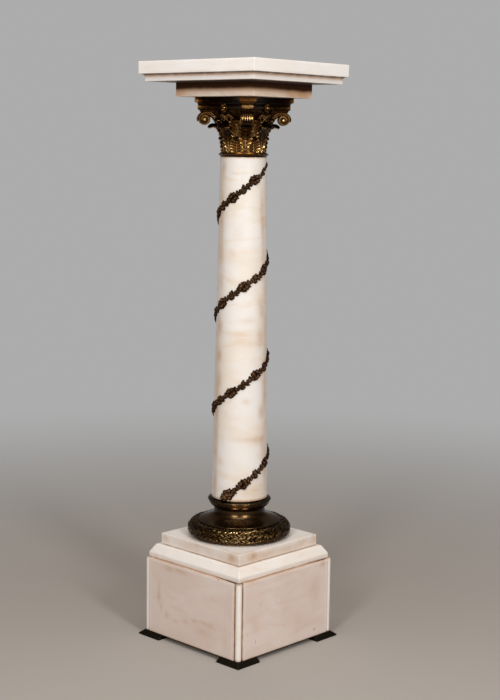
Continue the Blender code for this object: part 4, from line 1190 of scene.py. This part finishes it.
def inner_scrolls():
    """A pair of small scrolls on each side, which rise between the tall leaves to meet under the flower."""
    stem = np.array([(-9.0, 38.0), (-9.6, 47.0), (-8.8, 57.0), (-6.6, 65.0), (-3.0, 72.0)]) * MM
    path, wound = wind_in(stem, np.array([2.2, 70.5]) * MM, 5.6 * MM, 2.0 * MM, 1.25, 48)
    thick = np.concatenate([eased([2.8, 3.6, 4.0, 3.8], STEM_STEPS), 3.7 - 1.5 * wound[STEM_STEPS:]]) * MM
    along, level, off, relief_and_light = scroll_band(path, thick, (3.6 - 0.5 * wound) * MM)
    out = bell_radius(level) + 3.2 * MM + off
    shapes = []
    for hand in (-1, 1):
        angle = hand * (along - 9.0 * MM) / bell_radius(level)
        shapes.append(closed_round(around_axis(out, angle, level), relief_and_light * 0.8))
    return joined(shapes)


def side_flower():
    """The flower on the middle of a side of the abacus: a polar grid with a petal to each wave."""
    ring = np.linspace(0.03, 1.0, 12)[:, None]
    turn = round_angles(48)
    petal = np.abs(np.cos(2.5 * turn))
    reach = 8.6 * MM * ring * (0.74 + 0.26 * petal ** 0.7 * ring + 0.26 * (1 - ring))
    height = (1.6 + 3.2 * np.sin(math.pi * ring * 0.62) * (0.55 + 0.45 * petal)) * MM
    height = height + 3.0 * MM * near(ring, 0.20) - 1.6 * MM * near(ring - 0.33, 0.08)
    height = np.where(ring > 0.99, -2.0 * MM, height)
    side, middle = 52.6 * MM, ABACUS_FOOT + 3.6 * MM
    points = points_at(side + height, reach * np.cos(turn), middle + reach * np.sin(turn))
    relief_and_light = np.clip(0.15 + 0.6 * petal * ring + 0.9 * near(ring, 0.20), 0, 1) * (ring < 0.99)
    return closed_round(points, relief_and_light)


def make_capital():
    """The cast capital, as one piece."""
    shapes = [capital_bell(), capital_abacus(), *capital_leaves()]
    shapes += [turned_copies(shape, DIAGONALS) for shape in (volute(), horn_pad(), horn_leaf())]
    shapes += [turned_copies(inner_scrolls(), MIDDLES), turned_copies(side_flower(), MIDDLES)]
    whole = joined(shapes)
    points, faces, relief_and_light = turned_copies(whole, np.array([TOP_TURN]))
    points = points + np.array([0, 0, CAPITAL_LOW.z])
    lay("bronze_capital", (points, faces, relief_and_light), CAPITAL_BRONZE, ["capital"])


# Camera, floor and light

def make_camera():
    """The photograph's camera: set back on its azimuth, turned, tipped down and rolled as fitted."""
    data = bpy.data.cameras.new("camera")
    data.sensor_width = SENSOR
    data.lens = FOCAL_PIXELS / max(IMAGE_WIDTH, IMAGE_HEIGHT) * SENSOR
    camera = bpy.data.objects.new("camera", data)
    azimuth = math.radians(CAMERA_AZIMUTH)
    camera.matrix_world = (Matrix.Translation((CAMERA_DISTANCE * math.sin(azimuth),
                                               -CAMERA_DISTANCE * math.cos(azimuth), CAMERA_HEIGHT))
                           @ Matrix.Rotation(azimuth - math.radians(CAMERA_YAW), 4, "Z")
                           @ Matrix.Rotation(math.radians(90 - CAMERA_PITCH), 4, "X")
                           @ Matrix.Rotation(math.radians(CAMERA_ROLL), 4, "Z"))
    bpy.context.scene.collection.objects.link(camera)
    bpy.context.scene.camera = camera


def show_mixed(tree, share, first, second, output):
    """Shows at a tree's output the first shader, and the second over it by a share."""
    mix = tree.nodes.new("ShaderNodeMixShader")
    for socket, source in zip(mix.inputs, (share, first, second)):
        tree.links.new(source, socket)
    tree.links.new(mix.outputs["Shader"], tree.nodes[output].inputs["Surface"])


def make_floor():
    """A plain pale floor, which fades into the plain grey behind it between two distances."""
    finish = Finish("pale_floor")
    finish.shader.inputs["Base Color"].default_value = (0.40, 0.37, 0.34, 1)
    finish.shader.inputs["Roughness"].default_value = 0.8
    length = finish.tree.nodes.new("ShaderNodeVectorMath")
    length.operation = "LENGTH"
    finish.put(length.inputs[0], finish.place)
    fade = finish.spread(length.outputs["Value"], 0.3, 2.6)
    grey = finish.tree.nodes.new("ShaderNodeEmission")
    grey.inputs["Color"].default_value = BACKDROP_GREY
    show_mixed(finish.tree, fade, finish.shader.outputs["BSDF"], grey.outputs["Emission"], "Material Output")
    bpy.ops.mesh.primitive_plane_add(size=40)
    floor = bpy.context.object
    floor.name = "floor"
    floor.data.materials.append(finish.material)


def make_light(name, azimuth, height, distance, size, power, colour):
    """A soft box that looks at the column's middle: its bearing in degrees, height and distance from the
    axis, its width and height, and its power in watts."""
    data = bpy.data.lights.new(name, "AREA")
    data.shape = "RECTANGLE"
    data.size, data.size_y = size
    data.energy = power
    data.color = colour
    light = bpy.data.objects.new(name, data)
    angle = math.radians(azimuth)
    light.location = (distance * math.sin(angle), -distance * math.cos(angle), height)
    light.rotation_euler = (Vector((0, 0, LIGHT_AIM)) - light.location).to_track_quat("-Z", "Y").to_euler()
    bpy.context.scene.collection.objects.link(light)


def make_world():
    """A dim warm surround for the light, which the camera sees as a plain grey."""
    world = bpy.data.worlds.new("surround")
    world.use_nodes = True
    tree = world.node_tree
    seen = tree.nodes["Background"]
    seen.inputs["Color"].default_value = BACKDROP_GREY
    around = tree.nodes.new("ShaderNodeBackground")
    around.inputs["Color"].default_value = (0.30, 0.235, 0.185, 1)
    around.inputs["Strength"].default_value = 0.54
    by_camera = tree.nodes.new("ShaderNodeLightPath").outputs["Is Camera Ray"]
    show_mixed(tree, by_camera, around.outputs["Background"], seen.outputs["Background"], "World Output")
    bpy.context.scene.world = world
    bpy.context.scene.view_settings.view_transform = "Standard"


def main():
    make_camera()
    make_floor()
    make_world()
    make_light("right", CAMERA_AZIMUTH + 28, 1.70, 2.6, (0.42, 1.1), 35, (1.0, 0.98, 0.96))
    make_light("left", CAMERA_AZIMUTH - 20, 1.70, 2.6, (0.42, 1.1), 31, (1.0, 0.98, 0.96))
    make_light("ceiling", CAMERA_AZIMUTH, 3.3, 0.9, (2.2, 2.2), 44, (1.0, 0.99, 0.98))
    make_light("back", CAMERA_AZIMUTH + 180, 3.2, 2.3, (1.6, 1.6), 8, (1.0, 0.99, 0.98))
    make_top()
    make_block()
    make_cap()
    make_step()
    make_panels()
    make_beads()
    make_feet()
    make_shaft()
    make_socket()
    make_laurel_ring()
    make_garland()
    make_capital()


main()
